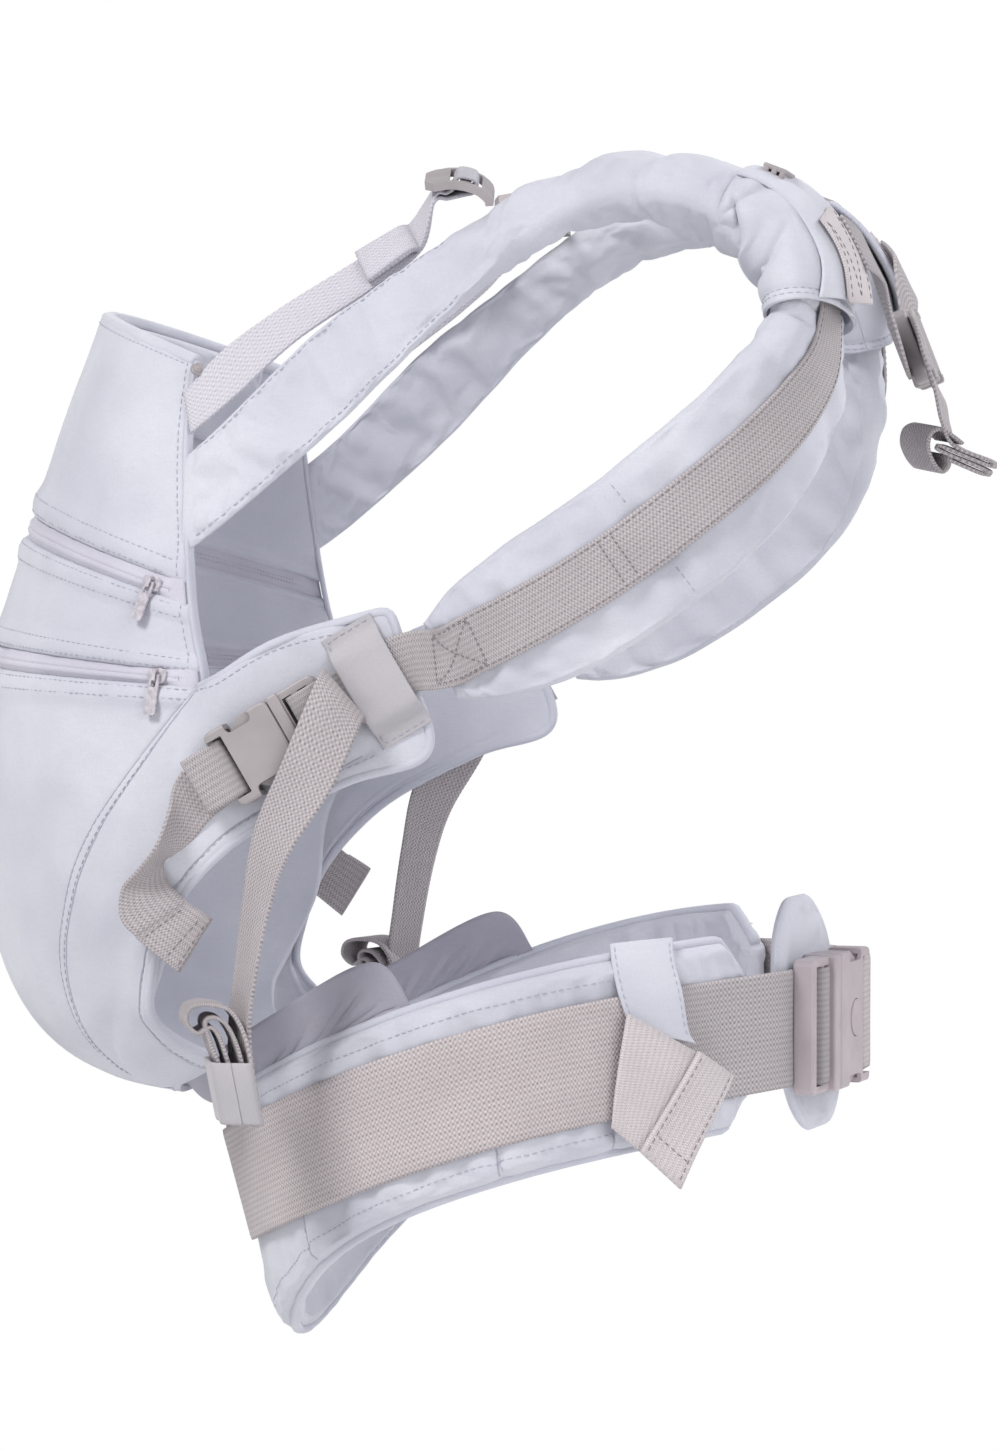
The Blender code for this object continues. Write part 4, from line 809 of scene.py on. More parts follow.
def belt_point(angle, out=0.0, rise=0.0):
    """A point on the belt: angle in degrees from the back round the left side, metres out and up."""
    a = WAIST_DEPTH / 2 + out
    b = WAIST_WIDTH / 2 + out
    x = a * math.cos(math.radians(angle))
    y = -b * math.sin(math.radians(angle))
    share = (a - x) / (2 * a)
    lean = 0.5 * math.atan(2 * BELT_DROP / (2 * a) * share)
    z = BELT_BACK_Z - BELT_DROP * share**2
    return Vector((x - rise * math.sin(lean), y, z + rise * math.cos(lean)))


def belt_direction(angle):
    return (belt_point(angle + 1) - belt_point(angle - 1)).normalized()


def pad_edges(angle):
    """How far the pad reaches below and above the belt's middle."""
    front = max(0.0, -math.cos(math.radians(angle)))
    below = BELT_BELOW + FRONT_LOBE * front**4
    return below, BELT_ABOVE


def inside(place, x, y, z):
    """A point in a fitting's own frame as a point of the carrier, both in millimetres."""
    return tuple((place @ Vector((x * MM, y * MM, z * MM))) / MM)


def threaded(pair, *steps):
    """Stations of webbing through a buckle: its pair of edges at each x, z in the buckle's frame."""
    return [(*pair(x, z), WEB) for x, z in steps]


WAIST_MOUTH_ANGLE = 13          # where the waist buckle's mouth lies, in degrees from the back
WAIST_BUCKLE_OUT = BELT_PAD_THICK + 0.5 * WAIST_BUCKLE["thick"] + 1 * MM


def waist_buckle_place():
    """The waist buckle's frame: the plug's ladder points to the left side of the belt."""
    along = belt_direction(WAIST_MOUTH_ANGLE)
    face = Vector((0, 0, 1)).cross(along)
    if face.x < 0:
        face = -face
    mouth = belt_point(WAIST_MOUTH_ANGLE, WAIST_BUCKLE_OUT - 3 * MM)
    return buckle_place(mouth / MM, along, face)


WAIST_PLACE = waist_buckle_place()
FLAP_HEIGHT = 104 * MM
FLAP_THICK = 5 * MM
FLAP_NEAR = 36 * MM             # how far the flap reaches past the mouth towards the plug
FLAP_FAR = 50 * MM              # and towards the socket
WAIST_UNDER = (0.62 * WAIST_BUCKLE["thick"] / 2 + GAP + WEB_THICK / 2) / MM


def waist_pair(x, z):
    """Upper and lower edges of the wide webbing where it crosses the waist buckle."""
    half = WAIST_WEB / MM / 2
    return inside(WAIST_PLACE, x, -half, z), inside(WAIST_PLACE, x, half, z)


def make_waist_webbing():
    """Wide webbing from the plug's ladder all the way round the pad to the socket's bar."""
    half = WAIST_WEB / 2
    kind = WAIST_BUCKLE
    first = (kind["shoulder"] + 0.6 * MM + kind["slot"] / 2) / MM
    second = first + (kind["slot"] + kind["bar"]) / MM
    wrap = 0.22 * kind["thick"] / MM + GAP / MM + WEB / 2
    bar = (-kind["socket"] + kind["bar"] / 2) / MM
    slot = (-kind["socket"] + kind["bar"] + kind["slot"] / 2) / MM
    under = WAIST_UNDER
    plug = kind["plug"] / MM
    run = threaded(waist_pair, (first - 0.6, -under + 1.2), (first - 0.6, 0), (first + 0.2, under - 1.2),
                   (first + 2.4, under), (second - 2.4, under), (second - 0.2, under - 1.2), (second, 0),
                   (second + 0.2, -under + 1.2), (second + 2.4, -under), (plug, -under),
                   (plug + 8, -under - 0.3))
    out = BELT_PAD_THICK + 3 * GAP + WEB_THICK / 2
    for angle in (46, 56, 68, 80, *range(95, 171, 15), 180, *range(190, 281, 15), 292, 304, 315):
        upper, lower = (tuple(belt_point(angle, out, rise) / MM) for rise in (half, -half))
        run.append((upper, lower, WEB))
    run += threaded(waist_pair, (bar - 36, -5.5), (bar - 16, -wrap - 1.2), (bar, -wrap), (slot - 2, -wrap),
                    (slot, 1.4 - wrap), (slot + 0.3, 0), (slot, wrap - 1.4), (slot - 2, wrap), (bar, wrap),
                    (bar - 16, wrap - 1.5))
    lay_band("waist_webbing", run, WEBBING, along=92)


TAIL_ANGLE = 54                 # where the loose end hangs, in degrees from the back


def beside_belt(run):
    """Stations measured from the outside of the belt pad, as points of the carrier."""
    start = belt_point(TAIL_ANGLE, BELT_PAD_THICK) / MM
    return [(tuple(start + Vector(upper)), tuple(start + Vector(lower)), thick)
            for upper, lower, thick in run]


GUSSET_TOP = ((-28, -151.5, 56), (-46, -148, 74), (-92, -126, 50), (-133, -90, 24), (-149.5, -45, 12),
              (-149.5, 0, 10))
GUSSET_SPAN = (105, 255)        # degrees of the belt that the gusset is sewn to


def on_buckle(x, y, z):
    """A point in the left side buckle's frame as a point of the carrier, both in millimetres."""
    return inside(SIDE_PLACE, x, y, z)


def edge_pair(x, z):
    """Both edges of the webbing where it crosses the side buckle at x, z above its middle."""
    return on_buckle(x, HALF_WEB, z), on_buckle(x, -HALF_WEB, z)


SLOPE = math.radians(SOCKET_ANGLE)
SIDE_PLACE = buckle_place(SIDE_BUCKLE_MOUTH, (math.cos(SLOPE), 0, math.sin(SLOPE)), (0, -1, 0))
UNDER_LADDER = 0.62 * SIDE_BUCKLE["thick"] / MM / 2 + GAP / MM + WEB / 2
BAR_WRAP = 0.22 * SIDE_BUCKLE["thick"] / MM + GAP / MM + WEB / 2
FIRST_SLOT = (SIDE_BUCKLE["shoulder"] + 0.6 * MM + SIDE_BUCKLE["slot"] / 2) / MM
BAR_SLOT = (-SIDE_BUCKLE["socket"] + SIDE_BUCKLE["bar"] + SIDE_BUCKLE["slot"] / 2) / MM
BAR_MIDDLE = (-SIDE_BUCKLE["socket"] + SIDE_BUCKLE["bar"] / 2) / MM
PLUG_END = SIDE_BUCKLE["plug"] / MM


def make_strap_tail(side):
    """Webbing up through the plug's ladder, folded over in a slanted crease and hanging down."""
    over = UNDER_LADDER + 0.1
    run = threaded(edge_pair, (PLUG_END + 1, -UNDER_LADDER), (FIRST_SLOT + 2.2, -UNDER_LADDER),
                   (FIRST_SLOT, -UNDER_LADDER + 1.2), (FIRST_SLOT - 0.3, 0), (FIRST_SLOT, over - 1.2),
                   (FIRST_SLOT + 2.2, over), (PLUG_END, over + 0.2))
    run += [
        (on_buckle(27, 12.8, over + 0.6), on_buckle(31, -12.8, over + 0.6), WEB),
        (on_buckle(28, 12.9, over + 2.4), on_buckle(32.4, -12.9, over + 2.4), WEB),
        (on_buckle(25, 12.8, over + 4.4), on_buckle(31, -13, over + 4.4), WEB),
        ((-78, -174, 158), (-56, -177, 148), WEB),
        ((-90, -171, 131), (-73, -182, 121), WEB),
        ((-95, -170, 104), (-81, -183, 99), WEB),
        ((-99, -168, 74), (-87, -183, 70), WEB),
        ((-102, -167, 44), (-90, -181, 42), WEB + 0.8),
        ((-100, -166, 8), (-86, -178, 8), 2.4 * WEB),
    ]
    lay_band(f"strap_tail_{side}", run, WEBBING, side, along=54)


def make_strap_webbing(side):
    """Webbing sewn along the pad, free from the pad's end and on through the sleeve to the plug."""
    stations = []
    for k in range(12):
        middle, _, _, normal, _, thick = strap_frame(PAD_RUN, 0.07 + 0.90 * k / 11)
        point = middle + normal * (thick / 2 + 2 * GAP / MM + WEB / 2)
        stations.append((tuple(point), tuple(normal), STRAP_WEB / MM, WEB))
    for x in (58, 42, 32, PLUG_END + 2.4):
        point = on_buckle(x, 0, -UNDER_LADDER + 0.6 * (x > 30))
        stations.append((point, (0, -1, 0), STRAP_WEB / MM, WEB))
    lay_strap(f"strap_webbing_{side}", stations, WEBBING, side, along=44)


SLEEVE_X = (31, 55)             # the sleeve's two edges along the side buckle's own x, in millimetres
SLEEVE_HALF = 26                # half its length across the webbing
SLEEVE_FOOT = -158.5 - GAP / MM - 0.7
LIFTER_RUN = (
    ((-134, -112.6, 312), (-129.5, -118.3, 295), 1.6),
    ((-117, -113.5, 330), (-110, -117.5, 311), 1.6),
    ((-93, -109, 348), (-85, -113.5, 334), 1.6),
    ((-61, -99, 369), (-54, -104, 356), 1.6),
    ((-40, -90, 384), (-34, -96, 373), 1.6),
)
LIFTER_THREAD = ((-12, -5.8), (-6, -3.4), (1, -1.0), (4.2, 0.3), (5.3, 3.0), (4.2, 5.5), (1, 6.3),
                 (-2.6, 6.1), (-4.2, 3.6), (-4.4, 1.0), (-7, -1.0), (-12, -3.4))
LIFTER_END = (
    ((-39.4, -92.4, 385.0), (-33.4, -98.4, 374.2), 2.0),
    ((-45, -95.0, 382.2), (-38.5, -101.0, 371.6), 4.0),
    ((-62, -101.0, 371.6), (-55, -106.0, 359.0), 4.0),
)
LOCK_PLACE = buckle_place((-17, -90, 399.5), (0.96, 0.18, -0.10), (0.05, -0.25, 0.97))


def make_lifter_webbing(side):
    """Webbing from the panel up to the lock, round its middle bar and back to a folded end."""
    def lock_pair(x, z):
        return [inside(LOCK_PLACE, x, edge, z) for edge in (HALF_WEB - 1, 1 - HALF_WEB)]

    run = (*LIFTER_RUN, *threaded(lock_pair, *LIFTER_THREAD), *LIFTER_END)
    lay_band(f"lifter_webbing_{side}", run, PALE_WEBBING, side, along=58)


BACK_PLACE = buckle_place((166, 4, 334), (0, -1, 0), (0.93, 0.0, 0.36))


def back_pair(x, z):
    """Upper and lower edges of the webbing where it crosses the back buckle at x, z above its middle."""
    return inside(BACK_PLACE, x, -HALF_WEB, z), inside(BACK_PLACE, x, HALF_WEB, z)


def make_back_webbing_left():
    """From the left cuff to the plug's ladder."""
    run = [
        ((140.6, -82, 385), (152, -84, 362.5), WEB),
        ((145.4, -72, 381), (156.8, -72, 358.5), WEB),
        ((151, -58, 371), (161, -58, 348.5), WEB),
    ]
    run += threaded(back_pair, (42, -3.0), (PLUG_END + 6, -UNDER_LADDER), (PLUG_END - 1, -UNDER_LADDER),
                    (FIRST_SLOT + 7, -UNDER_LADDER))
    lay_band("back_webbing_left", run, WEBBING, along=20)


def make_back_tail():
    """The plug's loose webbing: through the ladder, over it and down to an end folded flat in layers."""
    over = UNDER_LADDER
    run = threaded(back_pair, (FIRST_SLOT + 2.2, -over), (FIRST_SLOT, -over + 1.2), (FIRST_SLOT - 0.3, 0),
                   (FIRST_SLOT, over - 1.2), (FIRST_SLOT + 2.2, over), (PLUG_END - 2, over + 0.4))
    run += [
        ((169, -31, 345), (174, -24, 326), WEB),
        ((173, -41, 333), (177, -25, 316), WEB),
        ((179, -47, 316), (182, -26, 309), WEB),
        ((182.5, -50, 301), (184, -27, 299), WEB),
    ]
    step = WEB + 0.5
    way = Vector((0.92, 0.0, -0.39))
    lift = Vector((0.39, 0.0, 0.92))
    start = Vector((186, -38, 291))
    half = Vector((0, -HALF_WEB, 0))
    folds = ((2, 0), (18, 0), (20.2, 0.5), (18, 1), (-2, 1), (-4.4, 1.5), (-2, 2), (17, 2), (19.2, 2.5),
             (17, 3), (2, 3))
    for reach, layer in folds:
        middle = start + way * reach - lift * (step * layer)
        run.append((tuple(middle + half), tuple(middle - half), WEB))
    lay_band("back_tail", run, WEBBING, along=60)


def make_back_webbing_right():
    """From the right cuff to the socket's bar, looped round it."""
    run = [
        ((140.6, 82, 385), (152, 84, 362.5), WEB),
        ((145.4, 72, 381), (156.8, 72, 358.5), WEB),
        ((151, 60, 372), (161, 60, 349.5), WEB),
    ]
    run += threaded(back_pair, (BAR_MIDDLE - 14, -BAR_WRAP - 1.0), (BAR_MIDDLE - 5, -BAR_WRAP),
                    (BAR_MIDDLE, -BAR_WRAP), (BAR_SLOT - 0.6, 0.9 - BAR_WRAP), (BAR_SLOT + 0.1, 0),
                    (BAR_SLOT - 0.6, BAR_WRAP - 0.9), (BAR_MIDDLE, BAR_WRAP), (BAR_MIDDLE - 6, BAR_WRAP),
                    (BAR_MIDDLE - 14, BAR_WRAP - 1.6))
    lay_band("back_webbing_right", run, WEBBING, along=36)


YOKE_THICK = 2.2 * MM

# ------------------------------------------------------------------------------------------------
# Front panel


def across_mm(level, turn):
    """Distance along the panel from its middle line, in millimetres."""
    _, radius, half, _ = panel_arc(level)
    return turn * half * radius


def panel_slab(node, top, bottom, folds, cells, belly=1.0, extra=None):
    """One padded part of the panel. folds lists the ends that roll over a zip, as values of v."""
    middle = [panel_point(bottom + (top - bottom) * k / 20, 0) for k in range(21)]
    high = path_length(middle)
    wide = 2 * abs(across_mm((top + bottom) / 2, 1)) * MM

    def place(u, v):
        turn = 1 - 2 * u
        level = bottom + (top - bottom) * v
        side = (1 - abs(turn)) * wide / 2 / MM
        out = -PANEL_THICK / MM / 2 + belly * (1 - turn**4)
        run = across_mm(level, turn)
        for end in folds:
            edge = abs(v - end) * high / MM
            out += 2.1 * bell(edge - 5.5, 4.5)
            pucker = wander(run / 7.0, edge / 26.0, 4.0 * end + top)
            out += 0.9 * pucker * math.exp(-edge / 16)
        hem = math.exp(-side / 12)
        out += 0.8 * wander(run / 30, level * 40, 7.0) * hem
        out += 0.8 * wander(run / 45, level * 9, 1.0)
        if extra:
            out += extra(level, turn)
        return panel_point(level, turn, out)

    piece = slab(node + "_quilted", place, (wide, high), PANEL_THICK, cells, CLOTH, rim=2.5 * MM)


def seat_creases(level, turn):
    """Soft folds that run up from the leg openings and out from the hem."""
    low = max(0.0, (level - 0.62) / 0.38)
    run = across_mm(level, turn)
    creases = 1.6 * wander(run / 24 + level * 5, level * 6 - run / 60, 3.0) * min(1, 1.6 * low)
    return creases + 0.84 * math.sin(run / 8.5) * math.exp(-((1 - level) * 22))


upper_top, upper_bottom = zip_edges(UPPER_ZIP_LEVEL)
lower_top, lower_bottom = zip_edges(LOWER_ZIP_LEVEL)
PANEL_PARTS = {"upper_panel": (0.0, upper_top), "extension_panel": (upper_bottom, lower_top),
               "seat_panel": (lower_bottom, 1.0)}
panel_slab("upper_panel", *PANEL_PARTS["upper_panel"], folds=(0,), cells=(96, 34))
panel_slab("extension_panel", *PANEL_PARTS["extension_panel"], folds=(0, 1), cells=(96, 18))
panel_slab("seat_panel", *PANEL_PARTS["seat_panel"], folds=(1,), cells=(110, 64), belly=1.5,
           extra=seat_creases)


def zip_strip(node, level):
    """Zip tape with a lip on both sides of the teeth of its closed coil."""
    per_mm = level_step(level, 1)
    lip = ((-6.4, -2.6), (-4.9, -1.6), (-4.2, -0.2), (-2.6, 0.05), (-2.1, 0.55), (-1.5, 0.9), (-0.8, 0.8),
           (-0.3, 0.25))
    profile = (*lip, (0, -0.1), *((-shift, rise) for shift, rise in reversed(lip)))
    length = 2 * abs(across_mm(level, 0.99)) * MM

    def place(u, v):
        shift, rise = profile[int(round(v * (len(profile) - 1)))]
        turn = (1 - 2 * u) * 0.99
        closed = min(1.0, max(0.0, (0.955 - abs(turn)) * 25))
        return panel_point(level + shift * per_mm * (1 + 0.25 * (1 - closed)), turn, rise * closed - 0.2)

    sheet(node + "_tape", 200, len(profile) - 1, place, (length, ZIP_BAND), 1.0 * MM, TAPE, node, offset=-1.0)
    teeth = bmesh.new()
    count = int(length / (1.5 * MM))
    for k in range(count):
        turn = (1 - 2 * (k + 0.5) / count) * ZIP_REACH
        a = panel_point(level - 1.25 * per_mm, turn, 0.75)
        b = panel_point(level + 1.25 * per_mm, turn, 0.75)
        normal = (panel_point(level, turn, 2) - panel_point(level, turn, 0)).normalized()
        axis = (b - a).normalized()
        rows = (axis.cross(normal) * 0.5 * MM, axis * 1.75 * MM, normal * 0.42 * MM)
        at = Matrix.Translation((a + b) / 2) @ Matrix(rows).transposed().to_4x4()
        bmesh.ops.create_icosphere(teeth, subdivisions=1, radius=1.0, matrix=at)
    finish(node + "_coil", teeth, COIL, "carrier", "zip_coil")


zip_strip("upper_zip", UPPER_ZIP_LEVEL)
zip_strip("lower_zip", LOWER_ZIP_LEVEL)


def neck_roll():
    """Padded roll inside the panel's top edge."""
    def place(u, v):
        pucker = 0.7 * wander(u * 26, v * 2, 0.3)
        return panel_point(0.004 + 0.115 * v, (2 * u - 1) * 0.82, -PANEL_THICK / MM - 5.4 + pucker)

    piece = slab("head_support_padded", place, (0.2, 0.045), 9 * MM, (70, 16), CLOTH,
                 rim=8 * MM, sewn=lambda u, v: 1.0 if min(v, 1 - v) < 0.08 else 0.0)
    inflate(piece, pressure=1.5, cap=1.5 * MM, grow=0.04)


neck_roll()

# ------------------------------------------------------------------------------------------------
# Waist belt


BELT_SEAMS = (66, 87.5, 132, 228, 272.5, 294)       # degrees of the seams across the belt's lower part
BELT_DEGREE = 2.7               # millimetres along the belt in one degree
PAD_START = 33                  # degrees from the back where the padding ends beside the buckle
PAD_STOP = 360 - PAD_END_ANGLE


def pad_fade(angle):
    """The pad narrows at both ends."""
    return min(1.0, 0.5 + 0.07 * min(angle - PAD_START, PAD_STOP - angle))


def belt_pad():
    """Padded belt: full above and below the webbing that draws it in, and thin at both rims."""
    size = (0.80, 0.088)

    def place(u, v):
        angle = PAD_START + (PAD_STOP - PAD_START) * u
        below, above = pad_edges(angle)
        fade = pad_fade(angle)
        rise = (-below + (below + above) * v) * fade
        pucker = 0.9 * wander(angle / 3.2, v * 1.5, 2.0) * (abs(2 * v - 1) ** 3)
        sag = 0.8 * wander(angle / 11, v * 3, 6.0)
        for seam_at in BELT_SEAMS:
            run = abs(angle - seam_at) * BELT_DEGREE
            dent = 2.4 * bell(run, 3.6) - 0.8 * bell(run - 10, 6)
            sag -= dent * max(0.0, 1 - 2.9 * v)
        return belt_point(angle, BELT_PAD_THICK / 2 + (pucker + sag) * MM, rise)

    def swell(u, v):
        angle = PAD_START + (PAD_STOP - PAD_START) * u
        below, above = pad_edges(angle)
        rise = -below + (below + above) * v
        drawn = math.exp(-((rise / MM / 26) ** 4))
        return 1.0 - 0.16 * drawn

    piece = slab("waist_pad_padded", place, size, BELT_PAD_THICK, (200, 30), CLOTH, rim=7.5 * MM,
                 swell=swell, sewn=lambda u, v: 1.0 if min(v, 1 - v) < 0.035 or abs(v - 0.5) < 0.25 else 0.0)
    inflate(piece, pressure=2.0, cap=2.2 * MM, grow=0.04)


belt_pad()


def belt_binding(name, top, radius):
    """A rolled binding along the pad's top or bottom rim."""
    points, ups = [], []
    for k in range(241):
        angle = PAD_START + 1 + (PAD_STOP - PAD_START - 2) * k / 240
        below, above = pad_edges(angle)
        fade = pad_fade(angle)
        rise = (above if top else -below) * fade
        wobble = 0.4 * MM * wander(angle / 4, 1.0 if top else 2.0, 0)
        points.append(belt_point(angle, BELT_PAD_THICK / 2 + wobble, rise + (1 if top else -1) * 0.3 * MM))
        ups.append(Vector((0, 0, 1)))
    sweep(name, points, ups, round_profile(2.2 * radius, 2 * radius), EDGING)


belt_binding("waist_pad_top_binding", True, 2.3 * MM)
belt_binding("waist_pad_bottom_binding", False, 2.0 * MM)


def waist_lengths():
    """The belt's webbing, cut in two: the plug's length and the rest of it round the pad."""
    make_waist_webbing()
    whole = bpy.data.objects["waist_webbing_woven"]
    mesh = whole.data.copy()
    front = bpy.data.objects.new("waist_webbing_plug_length_woven", mesh)
    scene.collection.objects.link(front)
    for piece, keep_front in ((whole, False), (front, True)):
        bm = bmesh.new()
        bm.from_mesh(piece.data)
        cut = belt_point(TAIL_ANGLE, 0)
        ahead = belt_point(TAIL_ANGLE - 4, 0) - cut
        geometry = bm.verts[:] + bm.edges[:] + bm.faces[:]
        bmesh.ops.bisect_plane(bm, geom=geometry, dist=1e-6, plane_co=cut, plane_no=ahead)
        gone = [f for f in bm.faces if in_plug_length(f.calc_center_median(), cut, ahead) != keep_front]
        bmesh.ops.delete(bm, geom=gone, context="FACES")
        rims = [e for e in bm.edges if e.is_boundary]
        bmesh.ops.holes_fill(bm, edges=rims, sides=0)
        bm.to_mesh(piece.data)
        bm.free()
        piece.data.shade_smooth()
    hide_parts("waist_webbing")
    upper, lower = waist_pair(WAIST_BUCKLE["plug"] / MM + 7, -WAIST_UNDER)
    far_end = (Vector(upper) + Vector(lower)) / 2 * MM
    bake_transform(front)


def in_plug_length(point, cut, ahead):
    """Whether a point lies on the plug's side of the cut, on the left half of the belt."""
    return (point - cut).dot(ahead) > 0 and point.y < PLUG_LENGTH_REACH


PLUG_LENGTH_REACH = waist_pair(0, 0)[0][1] * MM + 2 * MM
waist_lengths()

# The belt's loose end and its cloth keeper, beside the pad
TAIL_UNDER = (
    ((-13.8, -20.2, 16.3), (21.5, -3.0, -6.0), 1.7),
    ((-16.2, -21.4, 0.5), (16.5, -6.9, -21), 1.7),
    ((-18.4, -22.4, -15.5), (10.0, -12.2, -37), 1.7),
    ((-20.0, -22.4, -31.1), (3.5, -16.8, -51.5), 1.7),
)
TAIL_OVER = (
    ((14.6, -10.4, 0.0), (27.6, 0.1, -11.1), 3.2),
    ((7.5, -14.6, -13.5), (21.5, -6.0, -26), 2.6),
    ((-0.5, -19.2, -27.5), (14.5, -12.7, -41.5), 2.6),
    ((-7.9, -23.0, -40.5), (8.3, -18.1, -56.4), 3.4),
)
KEEPER = (
    ((-22.9, -7.1, 43.4), (1.1, 7.9, 45.4), 1.4),
    ((-21.4, -12.1, 36.4), (2.6, 1.9, 36.4), 1.4),
    ((-18.4, -16.2, 25.4), (6.6, -2.5, 23.4), 1.4),
    ((-14.5, -16.6, 14.0), (9.6, -4.6, 8.0), 1.4),
    ((-11.5, -16.2, 9.0), (12.5, -4.6, 2.5), 1.4),
)
# The loose end's webbing is the lighter copy: painted light.
lay_band("waist_tail", beside_belt(TAIL_UNDER), PAINTED_LIGHT_WEBBING, along=20, wave=0.8)
lay_band("waist_tail", beside_belt(TAIL_OVER), PAINTED_LIGHT_WEBBING, along=20, wave=0.6, name="waist_tail_folded_hem")
lay_band("waist_tail_keeper", beside_belt(KEEPER), CLOTH, along=16, wave=0.5, name="waist_tail_keeper_sewn")


def buckle_flap():
    """Padded flap behind the waist buckle."""
    low = -WAIST_BUCKLE["thick"] / 2 - FLAP_THICK - 0.6 * MM
    half_high = FLAP_HEIGHT / 2
    mid, half_long = (FLAP_NEAR - FLAP_FAR) / 2, (FLAP_NEAR + FLAP_FAR) / 2
    corner = 22 * MM

    def place(u, v):
        x = -FLAP_FAR + (FLAP_FAR + FLAP_NEAR) * u
        y = -half_high - 3 * MM + 2 * half_high * v
        over_x, over_y = abs(x - mid) - (half_long - corner), abs(y + 3 * MM) - (half_high - corner)
        if over_x > 0 and over_y > 0:
            reach = math.hypot(over_x, over_y)
            big = max(over_x, over_y)
            x = mid + math.copysign(half_long - corner + over_x * big / reach, x - mid)
            y = -3 * MM + math.copysign(half_high - corner + over_y * big / reach, y + 3 * MM)
        reach = (y + 3 * MM) / half_high
        half = (43 - (20 if reach < 0 else 17) * abs(reach)**2.6) * MM
        middle = (-7 - (15.5 if reach < 0 else 17) * reach) * MM
        return WAIST_PLACE @ Vector((middle + (x - mid) * half / half_long, y, low + FLAP_THICK / 2))

    piece = slab("waist_buckle_flap_padded", place, (0.086, 0.104), FLAP_THICK, (30, 36),
                 CLOTH, rim=4 * MM, sewn=lambda u, v: 1.0 if min(u, 1 - u, v, 1 - v) < 0.06 else 0.0)
    inflate(piece, pressure=1.2, cap=0.6 * MM, grow=0.03)


buckle_flap()


def seat_gusset():
    """Pleated lining between the belt's top rim and the hem of the seat."""
    whole = GUSSET_TOP + tuple((x, -y, z) for x, y, z in reversed(GUSSET_TOP[:-1]))

    def place(u, v):
        angle = GUSSET_SPAN[0] + (GUSSET_SPAN[1] - GUSSET_SPAN[0]) * u
        low = belt_point(angle, BELT_PAD_THICK / 2, BELT_ABOVE + 1.5 * MM)
        high = Vector(smooth_at(whole, u)) * MM
        sag = 6 * MM * math.sin(math.pi * v) * math.sin(math.pi * u)
        pleat = 3.6 * (puffs(u * 26 + 0.4 * v, v * 0.7, 3.0) - 0.5)
        pleat += 1.2 * (puffs(u * 60, v * 1.2 + u * 4, 8.0) - 0.5)
        fold = pleat * MM * math.sin(math.pi * min(1, 1.3 * v + 0.1)) ** 0.6
        flat = Vector((low.x, low.y, 0)).normalized()
        return low + (high - low) * v - Vector((0, 0, sag)) + flat * fold * 0.6 + Vector((0, 0, fold * 0.4))

    # The gusset's lining cloth is darker partly as painted inner shade.
    sheet("seat_gusset_pleated", 300, 14, place, (0.42, 0.05), 1.2 * MM, LINING_WITH_PAINTED_SHADE, "seat_gusset")


seat_gusset()

# ------------------------------------------------------------------------------------------------
# Shoulder straps, lower pads and cuffs


# Creases across the strap: where, how deep in mm, and where across it they start
STRAP_TUCKS = ((0.505, 2.6, -0.3), (0.775, 4.6, 0.45), (0.66, 1.2, 0.5))


def strap_slab():
    middle = [band_point(STRAP_RUN, k / 40, 0.5)[0] * MM for k in range(41)]
    length = path_length(middle)
    widest = max(station[2] for station in STRAP_RUN) + 2

    def tuck(u, v):
        total = 0.0
        for at, depth, reach in STRAP_TUCKS:
            slant = at + 0.012 * math.sin(5 * u + at * 40)
            fade = max(0.0, (u - reach) / (1 - reach))
            total += depth * math.exp(-(((v - slant) * length / MM / 2.4) ** 2)) * fade
        return total

    def place(u, v):
        point, middle = band_point(STRAP_RUN, v, u)[0], band_point(STRAP_RUN, v, 0.5)[0]
        slim = 0.24 * math.exp(-(((v - 0.47) / 0.26) ** 4)) + 0.14 * max(0.0, 1 - 4 * v)
        root = Vector((-6.0, 3.6, -2.0)) * max(0.0, 1 - v / 0.11) ** 2
        wave = 0.9 * (puffs(v * 17, u * 1.2, 4.0) - 0.5) * min(1.0, 3 * v)
        pinch = 0.55 * tuck(u, v) * max(0.0, u - 0.5) * 2
        aim = (middle - point).normalized() if abs(u - 0.5) > 0.01 else Vector((0, 0, 0))
        return (middle + (point - middle) * (1 - slim) + aim * pinch + Vector((0, 0, wave)) + root) * MM

    def swell(u, v):
        thick = band_point(STRAP_RUN, v, u)[1] + 2.0 * min(1.0, 4 * v)
        thick += 4.0 * bell(v - 0.52, 0.09)
        return max(0.12, (thick - 1.6 * tuck(u, v)) / widest)

    def sewn(u, v):
        if min(u, 1 - u) < 0.03 or v < 0.02 or v > 0.985:
            return 1.0
        return min(1.0, tuck(u, v) / 2.0)

    piece = slab("shoulder_strap_left_padded", place, (0.056, length), widest * MM,
                 (24, 130), CLOTH, rim=17 * MM, swell=swell, ends=(False, False), sewn=sewn)
    inflate(piece, pressure=2.6, cap=3.5 * MM, grow=0.06)
    return piece


PAD_QUILT = 0.62                # where a quilting seam crosses the lower pad
# Creases across the lower pad: where, how deep in mm, and how far they slant in mm
PAD_CREASES = ((0.085, 3.2, 10), (0.185, 4.4, 14), (0.245, 2.4, 9), (0.36, 1.4, 8))


